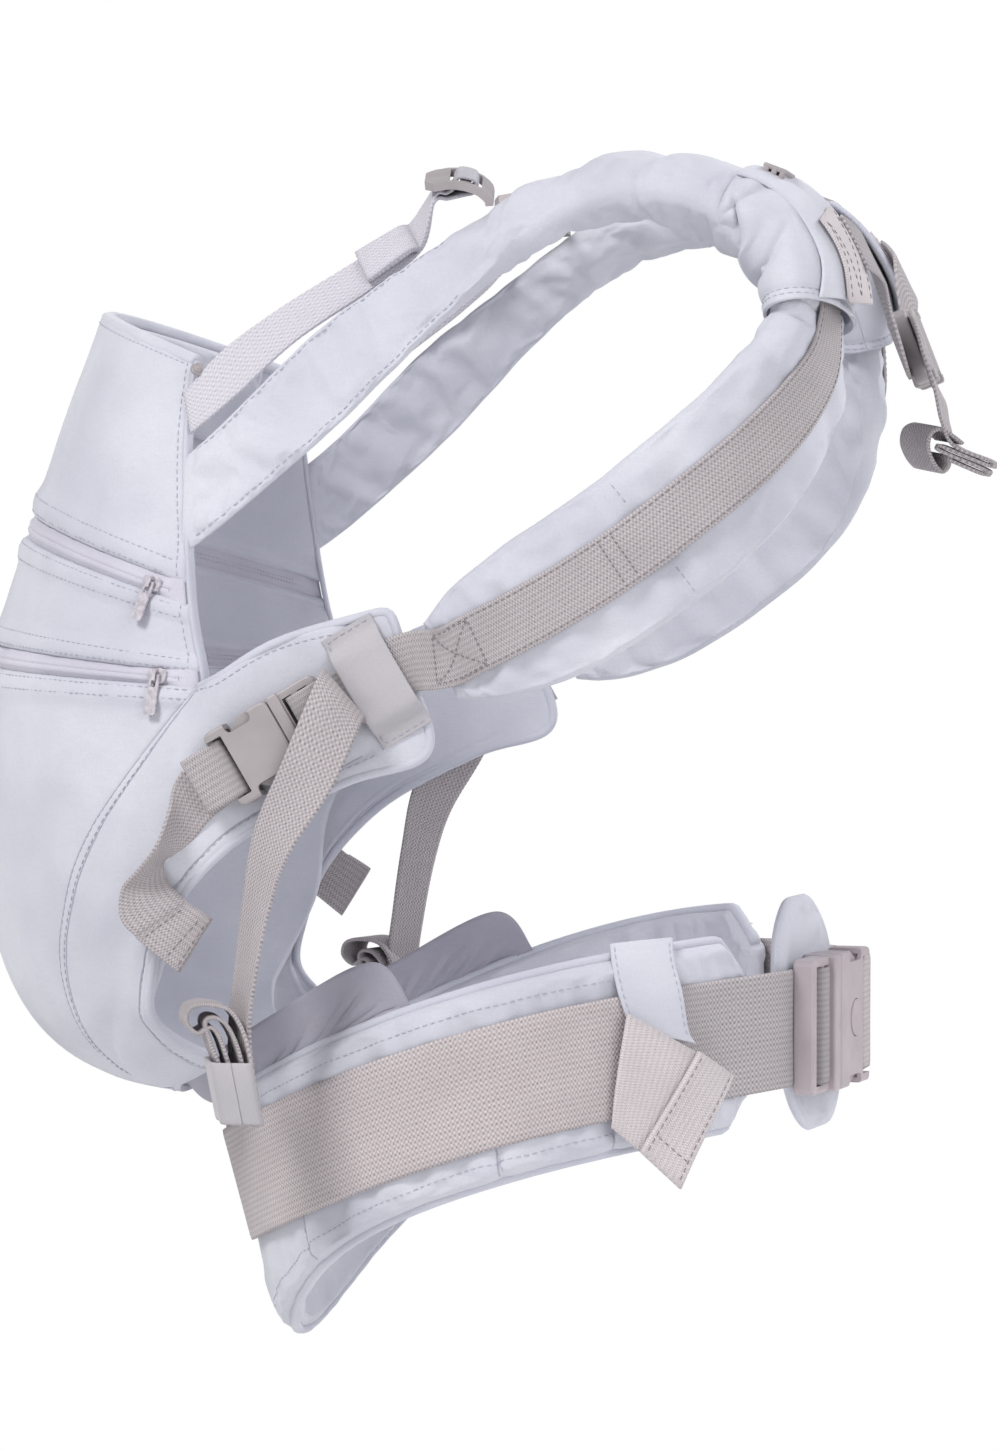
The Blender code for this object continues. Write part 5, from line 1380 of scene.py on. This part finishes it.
def pad_slab():
    middle = [strap_frame(PAD_RUN, k / 40)[0] * MM for k in range(41)]
    length = path_length(middle)
    widest = max(station[3] for station in PAD_RUN)

    def crease(u, v):
        total = 0.0
        for at, depth, slant in PAD_CREASES:
            run = (v - at) * length / MM - slant * (1 - u)
            dent = bell(run, 2.2) - 0.35 * bell(run - 7, 5)
            total += depth * max(0.0, (u - 0.52) / 0.48) * dent
        return total

    def place(u, v):
        point, _, wide, normal, width, _ = strap_frame(PAD_RUN, v)
        inner = min(1.0, abs(u - 0.5) * 2.2)
        wave = 1.0 * inner * (puffs(v * 11, u * 0.8, 2.0) - 0.5) * (1.0 if v < 0.55 else 0.5)
        pinch = crease(u, v)
        out = (width + 2 * wave) * (u - 0.5) - 0.6 * pinch
        return (point + wide * out + normal * (wave * 0.6 - 0.5 * pinch)) * MM

    def swell(u, v):
        quilt = math.exp(-(((v - PAD_QUILT) * length / MM / 3) ** 2))
        return strap_frame(PAD_RUN, v)[5] / widest * (1 - 0.62 * quilt) - 0.10 * max(0.0, crease(u, v))

    def sewn(u, v):
        if min(u, 1 - u) < 0.03 or v > 0.97 or abs(u - 0.5) < 0.2:
            return 1.0
        return 1.0 if abs(v - PAD_QUILT) * length / MM < 2.2 else min(1.0, max(0.0, crease(u, v) / 1.6))

    piece = slab("shoulder_pad_left_padded", place, (0.060, length), widest * MM,
                 (24, 84), CLOTH, rim=11 * MM, swell=swell, ends=(False, True), sewn=sewn)
    inflate(piece, pressure=2.6, cap=3.5 * MM, grow=0.07)
    return piece


strap_left = strap_slab()
pad_left = pad_slab()
strap_right = mirror_piece(strap_left)
pad_right = mirror_piece(pad_left)


CUFF_CLOTH = (
    ((98, -93, 390.5), (0.28, 0.00, 0.96), 64, 30),
    ((108, -93, 386), (0.55, 0.00, 0.83), 66, 32.5),
    ((119, -93, 376), (0.80, -0.03, 0.60), 67, 35),
    ((129, -96, 359), (0.96, -0.10, 0.22), 66, 34),
    ((132, -100, 342), (0.97, -0.22, 0.03), 67, 31),
)
CUFF_LENGTH = 55                # mm
# Folds of the cuff: angle round it in degrees and place along it in mm, at both ends, and depth
CUFF_FOLDS = ((-125, 31, -12, 11, 5.2), (-75, 38, 10, 33, 2.4), (-140, 17, -60, 8, 2.4),
              (60, 10, 160, 30, 2.2), (150, 24, 215, 38, 2.6), (-10, 6, 60, 14, 1.8))


def fold_depth(degrees, run):
    """How far the cuff's cloth falls in at its folds, and swells beside them, in millimetres."""
    total = 0.0
    for first, run_first, last, run_last, depth in CUFF_FOLDS:
        share = ((degrees - first + 180) % 360 - 180) / (last - first)
        if -0.25 < share < 1.25:
            ends = math.sin(math.pi * (share + 0.25) / 1.5) ** 0.7
            off = run - run_first - (run_last - run_first) * share - 2.5 * math.sin(math.pi * share)
            dent = bell(off, 2.0) - 0.45 * bell(off - 7, 5.5)
            total += depth * ends * dent
    return total


def cuff():
    """Cloth sleeve where the strap and the lower pad meet, pulled into slanting folds."""
    def place(u, v):
        turn_at = 2 * math.pi * (u + 0.5)
        middle, _, wide, normal, width, thick = strap_frame(CUFF_CLOTH, v)
        c, s = math.cos(turn_at), math.sin(turn_at)
        run = v * CUFF_LENGTH
        folds = 0.9 * wander(c * 1.6, s * 1.6, v * 3) - fold_depth(360 * u + 180, run)
        loose = min(1.0, run / 6) * min(1.0, (CUFF_LENGTH - run) / 9)
        hem = 0.8 * math.exp(-((CUFF_LENGTH - run - 4.5) / 1.3) ** 2)
        tucked = 3.2 * max(0.0, 1 - run / 5) ** 2
        grow = folds * loose - hem - tucked
        x = powered(c, 0.9) * (width / 2 + grow)
        z = powered(s, 0.9) * (thick / 2 + grow)
        return (middle + wide * x + normal * z) * MM

    piece = sheet("strap_cuff_left_sewn", 180, 84, place, (0.17, 0.055), 1.6 * MM, CLOTH, "strap_cuff_left")
    bm = bmesh.new()
    bm.from_mesh(piece.data)
    bmesh.ops.remove_doubles(bm, verts=bm.verts, dist=1e-5)
    bm.to_mesh(piece.data)
    bm.free()
    return piece


mirror_piece(cuff())


def round_cuff(share, degrees, lift):
    """A point beside the cuff: degrees round its section from its outer side, lift mm off its cloth."""
    middle, _, wide, normal, width, thick = strap_frame(CUFF_CLOTH, share)
    outer = wide if wide.y < 0 else -wide
    over = max(0.0, degrees - 90)
    c = 0.0 if over else math.cos(math.radians(degrees))
    s = 1.0 if over else math.sin(math.radians(degrees))
    return (middle + outer * (width / 2 + lift) * powered(c, 0.9)
            + normal * (thick / 2 + lift) * abs(s) ** 0.9 - outer * over * 0.42 + normal * over * 0.045)


def yoke():
    """Cloth yoke that hugs the back of the cuff and reaches in over the back."""
    def place(u, v):
        span = 0.97 - 0.42 * u
        share = 0.505 + 0.05 * u + (0.5 - v) * span
        wave = 0.5 * wander(u * 5, v * 4, 3.0)
        return round_cuff(share, 46 + 96 * u, 1.5 + 1.4 * min(1.0, 3 * u) + wave) * MM

    return slab("back_yoke_left_sewn", place, (0.052, 0.046), YOKE_THICK, (40, 30), CLOTH,
                rim=2 * MM)


def yoke_webbing(side):
    """Webbing sewn down the yoke to the cuff's corner."""
    run = [(tuple(round_cuff(0.60 + 0.065 * k, 60 + 3 * k, 5.4)),
            tuple(round_cuff(0.50 + 0.065 * k, 108 + 3 * k, 5.4)), WEB) for k in range(7)]
    # The yoke's webbing is the lighter copy: painted light.
    piece = lay_band(f"back_yoke_{side}", run, PAINTED_LIGHT_WEBBING, side, along=14, wave=0.1,
                     name=f"yoke_webbing_{side}_woven")


mirror_piece(yoke())
for side in ("left", "right"):
    yoke_webbing(side)

# ------------------------------------------------------------------------------------------------
# Wings


GORE = (
    # seam on the panel (level, turn), then three points outwards to the free edge
    ((0.345, -0.985), (-108, -155.6, 193), (-82, -156.8, 208), (-36, -156.6, 221)),
    ((0.40, -0.90), (-112, -156.6, 176), (-80, -157.0, 192), (-27, -156.8, 192)),
    ((0.45, -0.83), (-114, -157.0, 160), (-75, -157.2, 172), (-20, -156.8, 162)),
    ((0.50, -0.78), (-117, -157.2, 146), (-90, -157.4, 149), (-54, -156.9, 150)),
    ((0.55, -0.745), (-126, -157.0, 131), (-113, -157.8, 131), (-94, -157.2, 130)),
    ((0.60, -0.71), (-136, -155.0, 115), (-128, -157.2, 113), (-117, -157.0, 111)),
    ((0.66, -0.67), (-147, -150.0, 94), (-140, -152.8, 92), (-132, -154.0, 91)),
    ((0.73, -0.66), (-152, -144.0, 74), (-146, -147.6, 72), (-139, -149.4, 70)),
    ((0.80, -0.66), (-157, -135.0, 54), (-150, -139.0, 50), (-141, -141.4, 48)),
    ((0.90, -0.62), (-160, -118.0, 33), (-145, -123.0, 28), (-124, -126.4, 33)),
    ((0.985, -0.50), (-159, -94.0, 18), (-141, -101.0, 17), (-112, -109.0, 30)),
)


def gore_point(u, v):
    """Middle surface of the cloth from the curved seam on the seat out to the wing's free edge."""
    (level, turn_at), *outwards = (smooth_at(column, v) for column in zip(*GORE))
    first = panel_point(level, turn_at, 0.9) / MM
    second, third, last = (Vector(point) for point in outwards)
    half = (first + second) / 2
    onto = panel_point(level, turn_at * 0.5 - 0.5, 1.6) / MM
    bulge = Vector((half.x, min(half.y, onto.y) - 0.6, half.z))
    return Vector(smooth_at([tuple(p) for p in (first, bulge, second, third, last)], u))


def sewn_edge(off, half, run):
    """Height of a turned, stitched seam: a ridge with a groove on both sides, puckered along its run."""
    ridge = 1 / (1 + (off / half) ** 8)
    groove = math.exp(-(((abs(off) - 1.35 * half) / (0.35 * half)) ** 2))
    pucker = wander(run / 3.4, 2.0, 5.0)
    return (0.75 + 0.5 * pucker) * ridge - (0.55 + 0.5 * pucker) * groove


def gore():
    """The side of the seat and the wing in one padded cloth, sewn on along the curved seam."""
    def place(u, v):
        point = gore_point(u, v)
        step = 0.01
        across = gore_point(min(u + step, 1), v) - gore_point(max(u - step, 0), v)
        down = gore_point(u, min(v + step, 1)) - gore_point(u, max(v - step, 0))
        normal = across.cross(down).normalized()
        if normal.y > 0:
            normal = -normal
        wave = 1.3 * wander(point.x / 26, point.z / 26, 4.0)
        wave += 0.8 * wander(point.x / 10, point.z / 17, 9.0) * math.exp(-u * 5)
        wave += sewn_edge(u - 0.05, 0.024, v * 190) + 0.8 * sewn_edge(u - 0.945, 0.04, v * 190 + 50)
        low = min(1.0, max(0.0, (v - 0.3) * 3))
        ripple = math.sin(v * 60 + 3 * wander(u * 3, v * 6, 0))
        wave += 0.65 * low * ripple * bell(u - 1, 0.25)
        return (point + normal * wave * min(1.0, 6 * u, 8 * (1 - u))) * MM

    piece = slab("side_wing_left_quilted", place, (0.07, 0.19), 3.4 * MM, (90, 190), CLOTH,
                 rim=2.4 * MM, swell=lambda u, v: 0.45 + 0.55 * min(1, u * 5))
    return piece


wing_left = gore()
wing_right = mirror_piece(wing_left)


# Binding round the wing: along its top, down its free end and on along the leg opening
rim = [gore_point(u / 60, 0.0) * MM for u in range(4, 60)]
rim += [gore_point(1.0, v / 160) * MM for v in range(161)]
rim = smoothed(resample(rim, 2.5 * MM), 3)
outward = [Vector((0, -1, 0))] * len(rim)
sweep_both("wing_binding", rim, outward, round_profile(4.2 * MM, 4.4 * MM, 12), EDGING)

# Binding down the open sides of the panel and over its top edge
side_edge = [panel_point(0.346 * k / 80, -1.0, -2.3) for k in range(81)]
outward = [Vector((-0.3, -1, 0))] * len(side_edge)
sweep_both("panel_side_binding", side_edge, outward, round_profile(2.6 * MM, 6.0 * MM, 12), EDGING)
top_edge = [panel_point(0.0, k / 60 - 1, 0.5 * wander(k / 5, 0, 0) - 2.4) for k in range(121)]
upward = [Vector((0, 0, 1))] * len(top_edge)
sweep("panel_top_binding", top_edge, upward, round_profile(7.0 * MM, 6.4 * MM, 12), CLOTH)


def sleeve():
    """Smooth elastic sleeve on the wing."""
    hump = ((-1.0, SLEEVE_FOOT), (-0.78, SLEEVE_FOOT - 0.3), (-0.58, -163.2), (-0.3, -163.9))
    humps = (*hump, (0, -164.1), *((-share, depth) for share, depth in reversed(hump)))

    def place(u, v):
        share, depth = smooth_at(humps, v)
        x = SLEEVE_X[0] + (SLEEVE_X[1] - SLEEVE_X[0]) * u
        first = on_buckle(x, share * SLEEVE_HALF, 0)
        return Vector((first[0], depth, first[2])) * MM

    return slab("webbing_sleeve_left_knitted", place, (0.024, 0.056), 1.2 * MM,
                (20, 50), ELASTIC)


mirror_piece(sleeve())

ANCHOR_LOOSE = (
    ((-126.5, -160.6, 149), (-112, -160.0, 133), 1.6),
    ((-127.5, -167.5, 138), (-120, -159.2, 124), 1.6),
    ((-130.5, -177.0, 124), (-129, -160.2, 118), 1.6),
    ((-140, -170.0, 113), (-131.5, -160.0, 115), 1.6),
    ((-148.5, -165.5, 104), (-130.5, -160.8, 110), 1.6),
    ((-149, -164.4, 92), (-127, -162.4, 105), 1.6),
    ((-141.6, -164.8, 84), (-120, -163.8, 99), 1.8),
    ((-132, -164.8, 76.5), (-113.5, -164.4, 95), 3.2),
    ((-123.6, -164.8, 70), (-109.6, -164.4, 92.4), 3.4),
)


def anchor_woven(side):
    """Webbing round the socket's bar, twisted forward to its free end, which is folded and sewn double."""
    loop = threaded(edge_pair, (BAR_MIDDLE - 15, 2.2), (BAR_MIDDLE - 7, BAR_WRAP + 0.3),
                    (BAR_MIDDLE, BAR_WRAP), (BAR_SLOT - 0.6, BAR_WRAP - 0.9), (BAR_SLOT + 0.1, 0),
                    (BAR_SLOT - 0.6, 0.9 - BAR_WRAP),
                    (BAR_MIDDLE, -BAR_WRAP), (BAR_MIDDLE - 8, -BAR_WRAP - 0.6))
    node = f"anchor_webbing_{side}"
    lay_band(node, (*loop, *ANCHOR_LOOSE), WEBBING, side, along=54, wave=0.5)
    off = Vector((-0.3, -2.0, 0.3))
    folded = [(tuple(Vector(a) + off), tuple(Vector(b) + off), 1.9) for a, b, _ in ANCHOR_LOOSE[-3:]]
    lay_band(node, folded, WEBBING, side, along=16, wave=0.3, name=f"anchor_webbing_folded_end_{side}")


def rolled_end(side):
    """The hanging webbing's end, wound up edge-on and held by a pale elastic band."""
    turns = ((-97.5, 12), (-96.5, 40), (-101, 55), (-110, 58.5), (-118.5, 57), (-121, 51), (-117, 46.5),
             (-111, 49), (-107.5, 43), (-104.5, 26), (-102.5, 12), (-104.4, 9.6), (-106.4, 12), (-108.4, 28),
             (-112, 42), (-113.2, 50.6), (-109.6, 53.2), (-104.6, 50.6), (-101.2, 42), (-99.4, 26),
             (-99.6, 14))
    lean = [(x + 7 * (58 - z) / 48, z) for x, z in turns]
    run = [((x + 4.4, -185.0, z), (x - 3.4, -164.0, z), 1.7) for x, z in lean]
    node = f"strap_tail_{side}"
    lay_band(node, run, WEBBING, side, along=70, wave=0.12, name=f"strap_tail_roll_{side}")
    loop = ((-93, -187.8), (-85.6, -186.4), (-89.0, -175), (-93.0, -163.2), (-101, -161.8), (-109.4, -163.2),
            (-105.6, -175), (-101.4, -186.4), (-93, -188.2))
    band = [((x - 3.4, y, 35), (x + 1.6, y, 9.5), 1.3) for x, y in loop]
    lay_band(node, band, ELASTIC, side, along=26, wave=0.15, name=f"strap_tail_elastic_{side}")


for side in ("left", "right"):
    anchor_woven(side)
    make_strap_webbing(side)
    make_strap_tail(side)
    rolled_end(side)
    make_lifter_webbing(side)
bpy.data.objects["waist_webbing_woven"].data.materials[0] = WIDE_WEBBING
make_back_webbing_left()
make_back_webbing_right()
for side in ("left", "right"):                  # the sewn ends lie over the yoke and under its webbing
    for vert in bpy.data.objects[f"back_webbing_{side}_woven"].data.vertices:
        share = min(1.0, max(0.0, (abs(vert.co.y) / MM - 54) / 16))
        vert.co += Vector((2.7, math.copysign(5.0, vert.co.y), 1.3)) * MM * share * share * (3 - 2 * share)
make_back_tail()
curl = ((185.5, 292.4), (181.5, 295.6), (176.5, 298.6), (172, 296.6), (170.8, 290.6), (173.4, 284),
        (177.0, 280.4), (179.6, 283.0), (179.6, 287.4))
curl = [((x + 6.6, -49.5, z - 1.4), (x - 7.4, -28.5, z + 1.4), 1.8) for x, z in curl]
lay_band("back_tail_band", curl, WEBBING, along=20, wave=0.1)


def bend_between(name, end):
    """Webbing taken off its body and kept fixed where it lies."""
    piece = bpy.data.objects[name]
    piece.parent = None
    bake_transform(piece)


bend_between("back_webbing_left_woven",
             Vector(back_pair(PLUG_END + 8, 0)[0]) * MM)
for side in ("left", "right"):
    entry = mirrored(LOCK_PLACE @ (Vector(LIFTER_THREAD[0] + (0,)).xzy * MM), side)
    first = mirrored(Vector((-80, -108, 352)) * MM, side)
    bend_between(f"lifter_webbing_{side}_woven", entry)


def bevelled_box(bm, size, at, turn, radius):
    """A box with rounded edges, added to bm."""
    made = bmesh.ops.create_cube(bm, size=1.0)["verts"]
    bmesh.ops.scale(bm, vec=size, verts=made)
    edges = list({edge for vert in made for edge in vert.link_edges})
    grown = bmesh.ops.bevel(bm, geom=edges, offset=radius, segments=3, profile=0.5, affect="EDGES")
    whole = list({vert for face in grown["faces"] for vert in face.verts} | {v for v in made if v.is_valid})
    bmesh.ops.transform(bm, matrix=Matrix.Translation(at) @ turn.to_4x4(), verts=whole)


def small_fittings(side):
    """The press stud at the panel's top corner and the little slider on the shoulder."""
    bm = bmesh.new()
    face = mirrored(Vector((0.35, -0.72, 0.6)), side).normalized()
    turn = face.to_track_quat("Z", "Y").to_matrix()
    at = mirrored(Vector((-127.5, -113.0, 322.5)) * MM, side)
    for radius, height, off in ((3.4, 0.8, 0.0), (2.5, 1.0, 0.7), (1.6, 0.7, 1.3)):
        place = Matrix.Translation(at + face * off * MM) @ turn.to_4x4()
        bmesh.ops.create_cone(bm, cap_ends=True, segments=28, radius1=radius * MM,
                              radius2=(radius - 0.5) * MM, depth=height * MM, matrix=place)
    finish(f"press_stud_{side}", bm, MOULDED, "carrier", "moulded")
    bm = bmesh.new()
    along = Vector((0.93, 0, -0.36))
    up = Vector((0.36, 0, 0.93))
    cross = up.cross(along)
    turn = Matrix((along, cross, up)).transposed()
    at = mirrored(Vector((117.5, -93, 403.2)) * MM, side)
    bevelled_box(bm, Vector((10.5, 30, 2.2)) * MM, at + up * 1.5 * MM, turn, 0.8 * MM)
    for shift in (-3.6, 0.0, 3.6):
        bevelled_box(bm, Vector((2.4, 30, 4.0)) * MM, at + along * shift * MM - up * 0.4 * MM, turn, 0.7 * MM)
    finish(f"shoulder_slider_{side}", bm, MOULDED, "carrier", "moulded")


for side in ("left", "right"):
    small_fittings(side)

# ------------------------------------------------------------------------------------------------
# Sewing

LEFT = (0, -1, 0)
WING, SLEEVE, STRAP = "side_wing_left_quilted", "webbing_sleeve_left_knitted", "shoulder_strap_left_padded"
# Darker cloth for the thin strips beside seams: painted seam shadow.
SEAM_SHADOW_CLOTH = cloth_material("woven cotton blend at a turned seam", "a9aab8", "9d9eae", weave_mm=0.4, rough=0.9)


def panel_rows(node, *levels):
    """Straight rows of stitches across a part of the panel at given levels."""
    laid = node + "_quilted"
    top, bottom = PANEL_PARTS[node]
    place = LAID[laid][1]
    for level in levels:
        v = (level - bottom) / (top - bottom)
        points, normals = [], []
        for k in range(41):
            u = 0.015 + 0.97 * k / 40
            points.append(place(u, v))
            out = (panel_point(level, 1 - 2 * u, 5) - panel_point(level, 1 - 2 * u, 0)).normalized()
            normals.append(out)
        points, ups = lay_on(laid, points, normals, 8 * MM)
        stitch((laid + "_stitching", "carrier", THREAD.name), points, ups)


above = level_step(UPPER_ZIP_LEVEL, 1)
panel_rows("upper_panel", upper_top - 2.2 * above, upper_top - 9 * above, 0.012)
panel_rows("extension_panel", upper_bottom + 2.2 * above, upper_bottom + 9 * above, lower_top - 2.2 * above,
           lower_top - 9 * above)
panel_rows("seat_panel", lower_bottom + 2.2 * above, lower_bottom + 9 * above, 0.985)
for laid in ("upper_panel_quilted", "extension_panel_quilted"):
    seam(laid + "_side_stitching", laid, [(0.986, 0.02), (0.986, 0.98)], LEFT)

# The seam where the side of the seat joins its middle, in two rows, and the rows inside the wing's binding
# The darker strips beside the seat seam and the leg hem are painted seam shadow.
for inset in (0.018, 0.082):
    seam_shadow_line(f"seat_seam_fold_{round(inset * 1000)}", WING, line((inset, 0), (inset, 1), 30), LEFT, SEAM_SHADOW_CLOTH)
seam_shadow_line("leg_hem_fold", WING, line((0.893, 0.235), (0.893, 0.985), 30), LEFT, SEAM_SHADOW_CLOTH, 0.6 * MM, 0.35 * MM)
for inset in (0.03, 0.07):
    seam("seat_seam_stitching", WING, line((inset, 0), (inset, 1), 30), LEFT)
corner = line((0.12, 0.026), (0.92, 0.026), 20) + line((0.945, 0.026), (0.945, 0.182), 13)
seam("wing_stitching", WING, corner, LEFT)
seam("leg_hem_stitching", WING, line((0.91, 0.225), (0.91, 0.985), 30), LEFT)
for near, far in ((0.05, 0.14), (0.95, 0.86)):
    seam("sleeve_stitching", SLEEVE, [(0.93, near), (0.08, near), (0.08, far)], LEFT)

# Shoulder strap and cuff
for u in (0.925, 0.05):
    seam("strap_stitching", STRAP, line((u, 0.02), (u, 0.42), 12), LEFT)
for row in (0.955, 0.92):
    piece, place = LAID["strap_cuff_left_sewn"]
    middle = strap_frame(CUFF_CLOTH, row)[0] * MM
    points = [place(k / 160, row) for k in range(161)]
    points, ups = Skin(piece).lay(points, [(point - middle).normalized() for point in points], 3 * MM)
    stitch_both("cuff_hem_stitching", points, ups, THREAD)

# Webbing on the pad: rows along both edges, a cross row, a box with a cross in it, and the pad's quilting
web = "strap_webbing_left_woven"
for u in (0.07, 0.93):
    seam("pad_webbing_stitching", web, line((u, 0.02), (u, 0.72), 30), LEFT, thread=WEB_THREAD, reach=3 * MM,
         radius=0.2 * MM, length=2.0 * MM)
for path in ([(0.08, 0.478), (0.92, 0.478)], [(0.08, 0.492), (0.92, 0.492)],
             [(0.10, 0.66), (0.90, 0.66), (0.90, 0.75), (0.10, 0.75), (0.10, 0.66), (0.90, 0.75)],
             [(0.90, 0.66), (0.10, 0.75)]):
    seam("pad_cross_stitching", web, path, LEFT, thread=WEB_THREAD, reach=3 * MM, radius=0.27 * MM,
         length=1.8 * MM, gap=0.6 * MM)
for path in ([(0.04, PAD_QUILT), (0.26, PAD_QUILT)], [(0.76, PAD_QUILT), (0.96, PAD_QUILT)]):
    seam("pad_quilt_stitching", "shoulder_pad_left_padded", path, LEFT, reach=9 * MM)

# Sewn ends of the webbing, the belt's tail and keeper, and the belt itself
for v in (0.12, 0.62, 0.9):
    seam("anchor_end_stitching", "anchor_webbing_folded_end_left", [(0.06, v), (0.94, v)], LEFT,
         thread=WEB_THREAD, reach=4 * MM, bodies=("left_socket", "right_socket"))
for path in ([(0.10, 0.03), (0.10, 0.97)], [(0.90, 0.03), (0.90, 0.97)], [(0.1, 0.78), (0.9, 0.78)]):
    seam("waist_tail_stitching", "waist_tail_folded_hem", path, LEFT, both=False, thread=WEB_THREAD,
         reach=4 * MM)
for u in (0.06, 0.94):
    seam("keeper_stitching", "waist_tail_keeper_sewn", [(u, 0.05), (u, 0.95)], LEFT, both=False, reach=4 * MM)
for v in (0.90, 0.10):
    seam("belt_rim_stitching", "waist_pad_padded", line((0.065, v), (0.47, v), 40), LEFT, reach=14 * MM)
BESIDE_SEAM = 0.0022            # how far beside a belt seam its stitches lie, as a share of the pad's length
for angle in BELT_SEAMS[:3]:
    u = (angle - PAD_START) / (PAD_STOP - PAD_START) + BESIDE_SEAM
    outward = belt_point(angle, 1) - belt_point(angle, 0)
    seam("belt_seam_stitching", "waist_pad_padded", [(u, 0.05), (u, 0.24)], outward, reach=14 * MM)
    # The darker strip beside each belt seam is painted seam shadow.
    fold = line((u - 0.003, 0.03), (u - 0.003, 0.26), 12)
    seam_shadow_line(f"belt_seam_fold_{round(angle)}", "waist_pad_padded", fold, outward, SEAM_SHADOW_CLOTH, 0.7 * MM, 0.4 * MM,
              reach=14 * MM)
for path in ([(0.1, 0.05), (0.1, 0.95)], [(0.9, 0.05), (0.9, 0.95)],
             [(0.14, 0.08), (0.5, 0.9), (0.86, 0.08)]):
    seam("yoke_webbing_stitching", "yoke_webbing_left_woven", path, (0.6, -0.6, 0.5), thread=WEB_THREAD,
         reach=4 * MM)
build_stitches()

# Sheets of cloth: the size each was cut to in metres, how it is held, what it lies on and the sewing on it
SHEETS = (
    ("seat_gusset_pleated", (0.31, 0.033), "gathered", "waist_pad_padded", ()),
    ("waist_tail_keeper_sewn", (0.026, 0.047), "laid", "waist_pad_padded", ("keeper_stitching",)),
    ("strap_cuff_SIDE_sewn", (0.185, 0.063), "gathered", "shoulder_strap_SIDE_padded",
     ("cuff_hem_stitching_SIDE",)),
    ("webbing_sleeve_SIDE_knitted", (0.024, 0.0565), "stretched", "side_wing_SIDE_quilted",
     ("sleeve_stitching_SIDE",)),
    ("back_yoke_SIDE_sewn", (0.060, 0.060), "laid", "strap_cuff_SIDE_sewn", ()),
    ("strap_tail_elastic_SIDE", (0.025, 0.082), "stretched", "strap_tail_roll_SIDE", ()),
)
for name, flat, held, under, sewing in SHEETS:
    for side in ("left", "right"):
        if side == "left" or "SIDE" in name:
            own = bpy.data.objects[name.replace("SIDE", side)]
            under.replace("SIDE", side)
            [bpy.data.objects[row.replace("SIDE", side)] for row in sewing]

# ------------------------------------------------------------------------------------------------
# Studio

FLOOR_HEIGHT = -0.22            # in metres

bm = bmesh.new()
bmesh.ops.create_circle(bm, cap_ends=True, segments=64, radius=6.0)
bmesh.ops.translate(bm, vec=(0, 0, FLOOR_HEIGHT), verts=bm.verts)
floor_mesh = bpy.data.meshes.new("floor")
bm.to_mesh(floor_mesh)
bm.free()
floor = bpy.data.objects.new("floor", floor_mesh)
scene.collection.objects.link(floor)


def seen_by_camera(tree, shown, otherwise, output):
    """Show one shader to the camera and another to every other ray."""
    direct = add(tree, "LightPath").outputs["Is Camera Ray"]
    chosen = add(tree, "MixShader", i0=direct, i1=otherwise.outputs[0], i2=shown.outputs[0])
    tree.links.new(chosen.outputs[0], tree.nodes[output].inputs[0])


floor_mat, floor_tree, floor_shader = new_material("pale studio floor", 0.9)
floor_shader.inputs["Base Color"].default_value = (0.9, 0.9, 0.9, 1)
seen_by_camera(floor_tree, add(floor_tree, "Emission"), floor_shader, "Material Output")
floor_mesh.materials.append(floor_mat)

world = bpy.data.worlds.new("studio")
scene.world = world
world.use_nodes = True
back = world.node_tree.nodes["Background"]
back.inputs["Color"].default_value = (0.97, 0.98, 1.0, 1)
back.inputs["Strength"].default_value = 0.44
white = add(world.node_tree, "Background", Color=(1, 1, 1, 1), Strength=1.0)
seen_by_camera(world.node_tree, white, back, "World Output")


def soft_light(name, place, size, power, colour):
    """A round lamp, its width in metres and its power in watts, turned to the carrier."""
    data = bpy.data.lights.new(name, "AREA")
    data.shape = "DISK"
    data.size = size
    data.energy = power
    data.color = colour
    lamp = bpy.data.objects.new(name, data)
    lamp.location = place
    lamp.rotation_euler = (target - Vector(place)).to_track_quat("-Z", "Y").to_euler()
    scene.collection.objects.link(lamp)


soft_light("key", (-1.2, -1.5, 2.0), 0.9, 48, (1, 0.985, 0.965))
soft_light("fill", (1.5, -1.7, 0.9), 1.6, 19, (1, 0.99, 0.98))
soft_light("rim", (1.5, 1.1, 1.5), 1.2, 26, (0.99, 0.99, 1))
scene.view_settings.view_transform = "Standard"
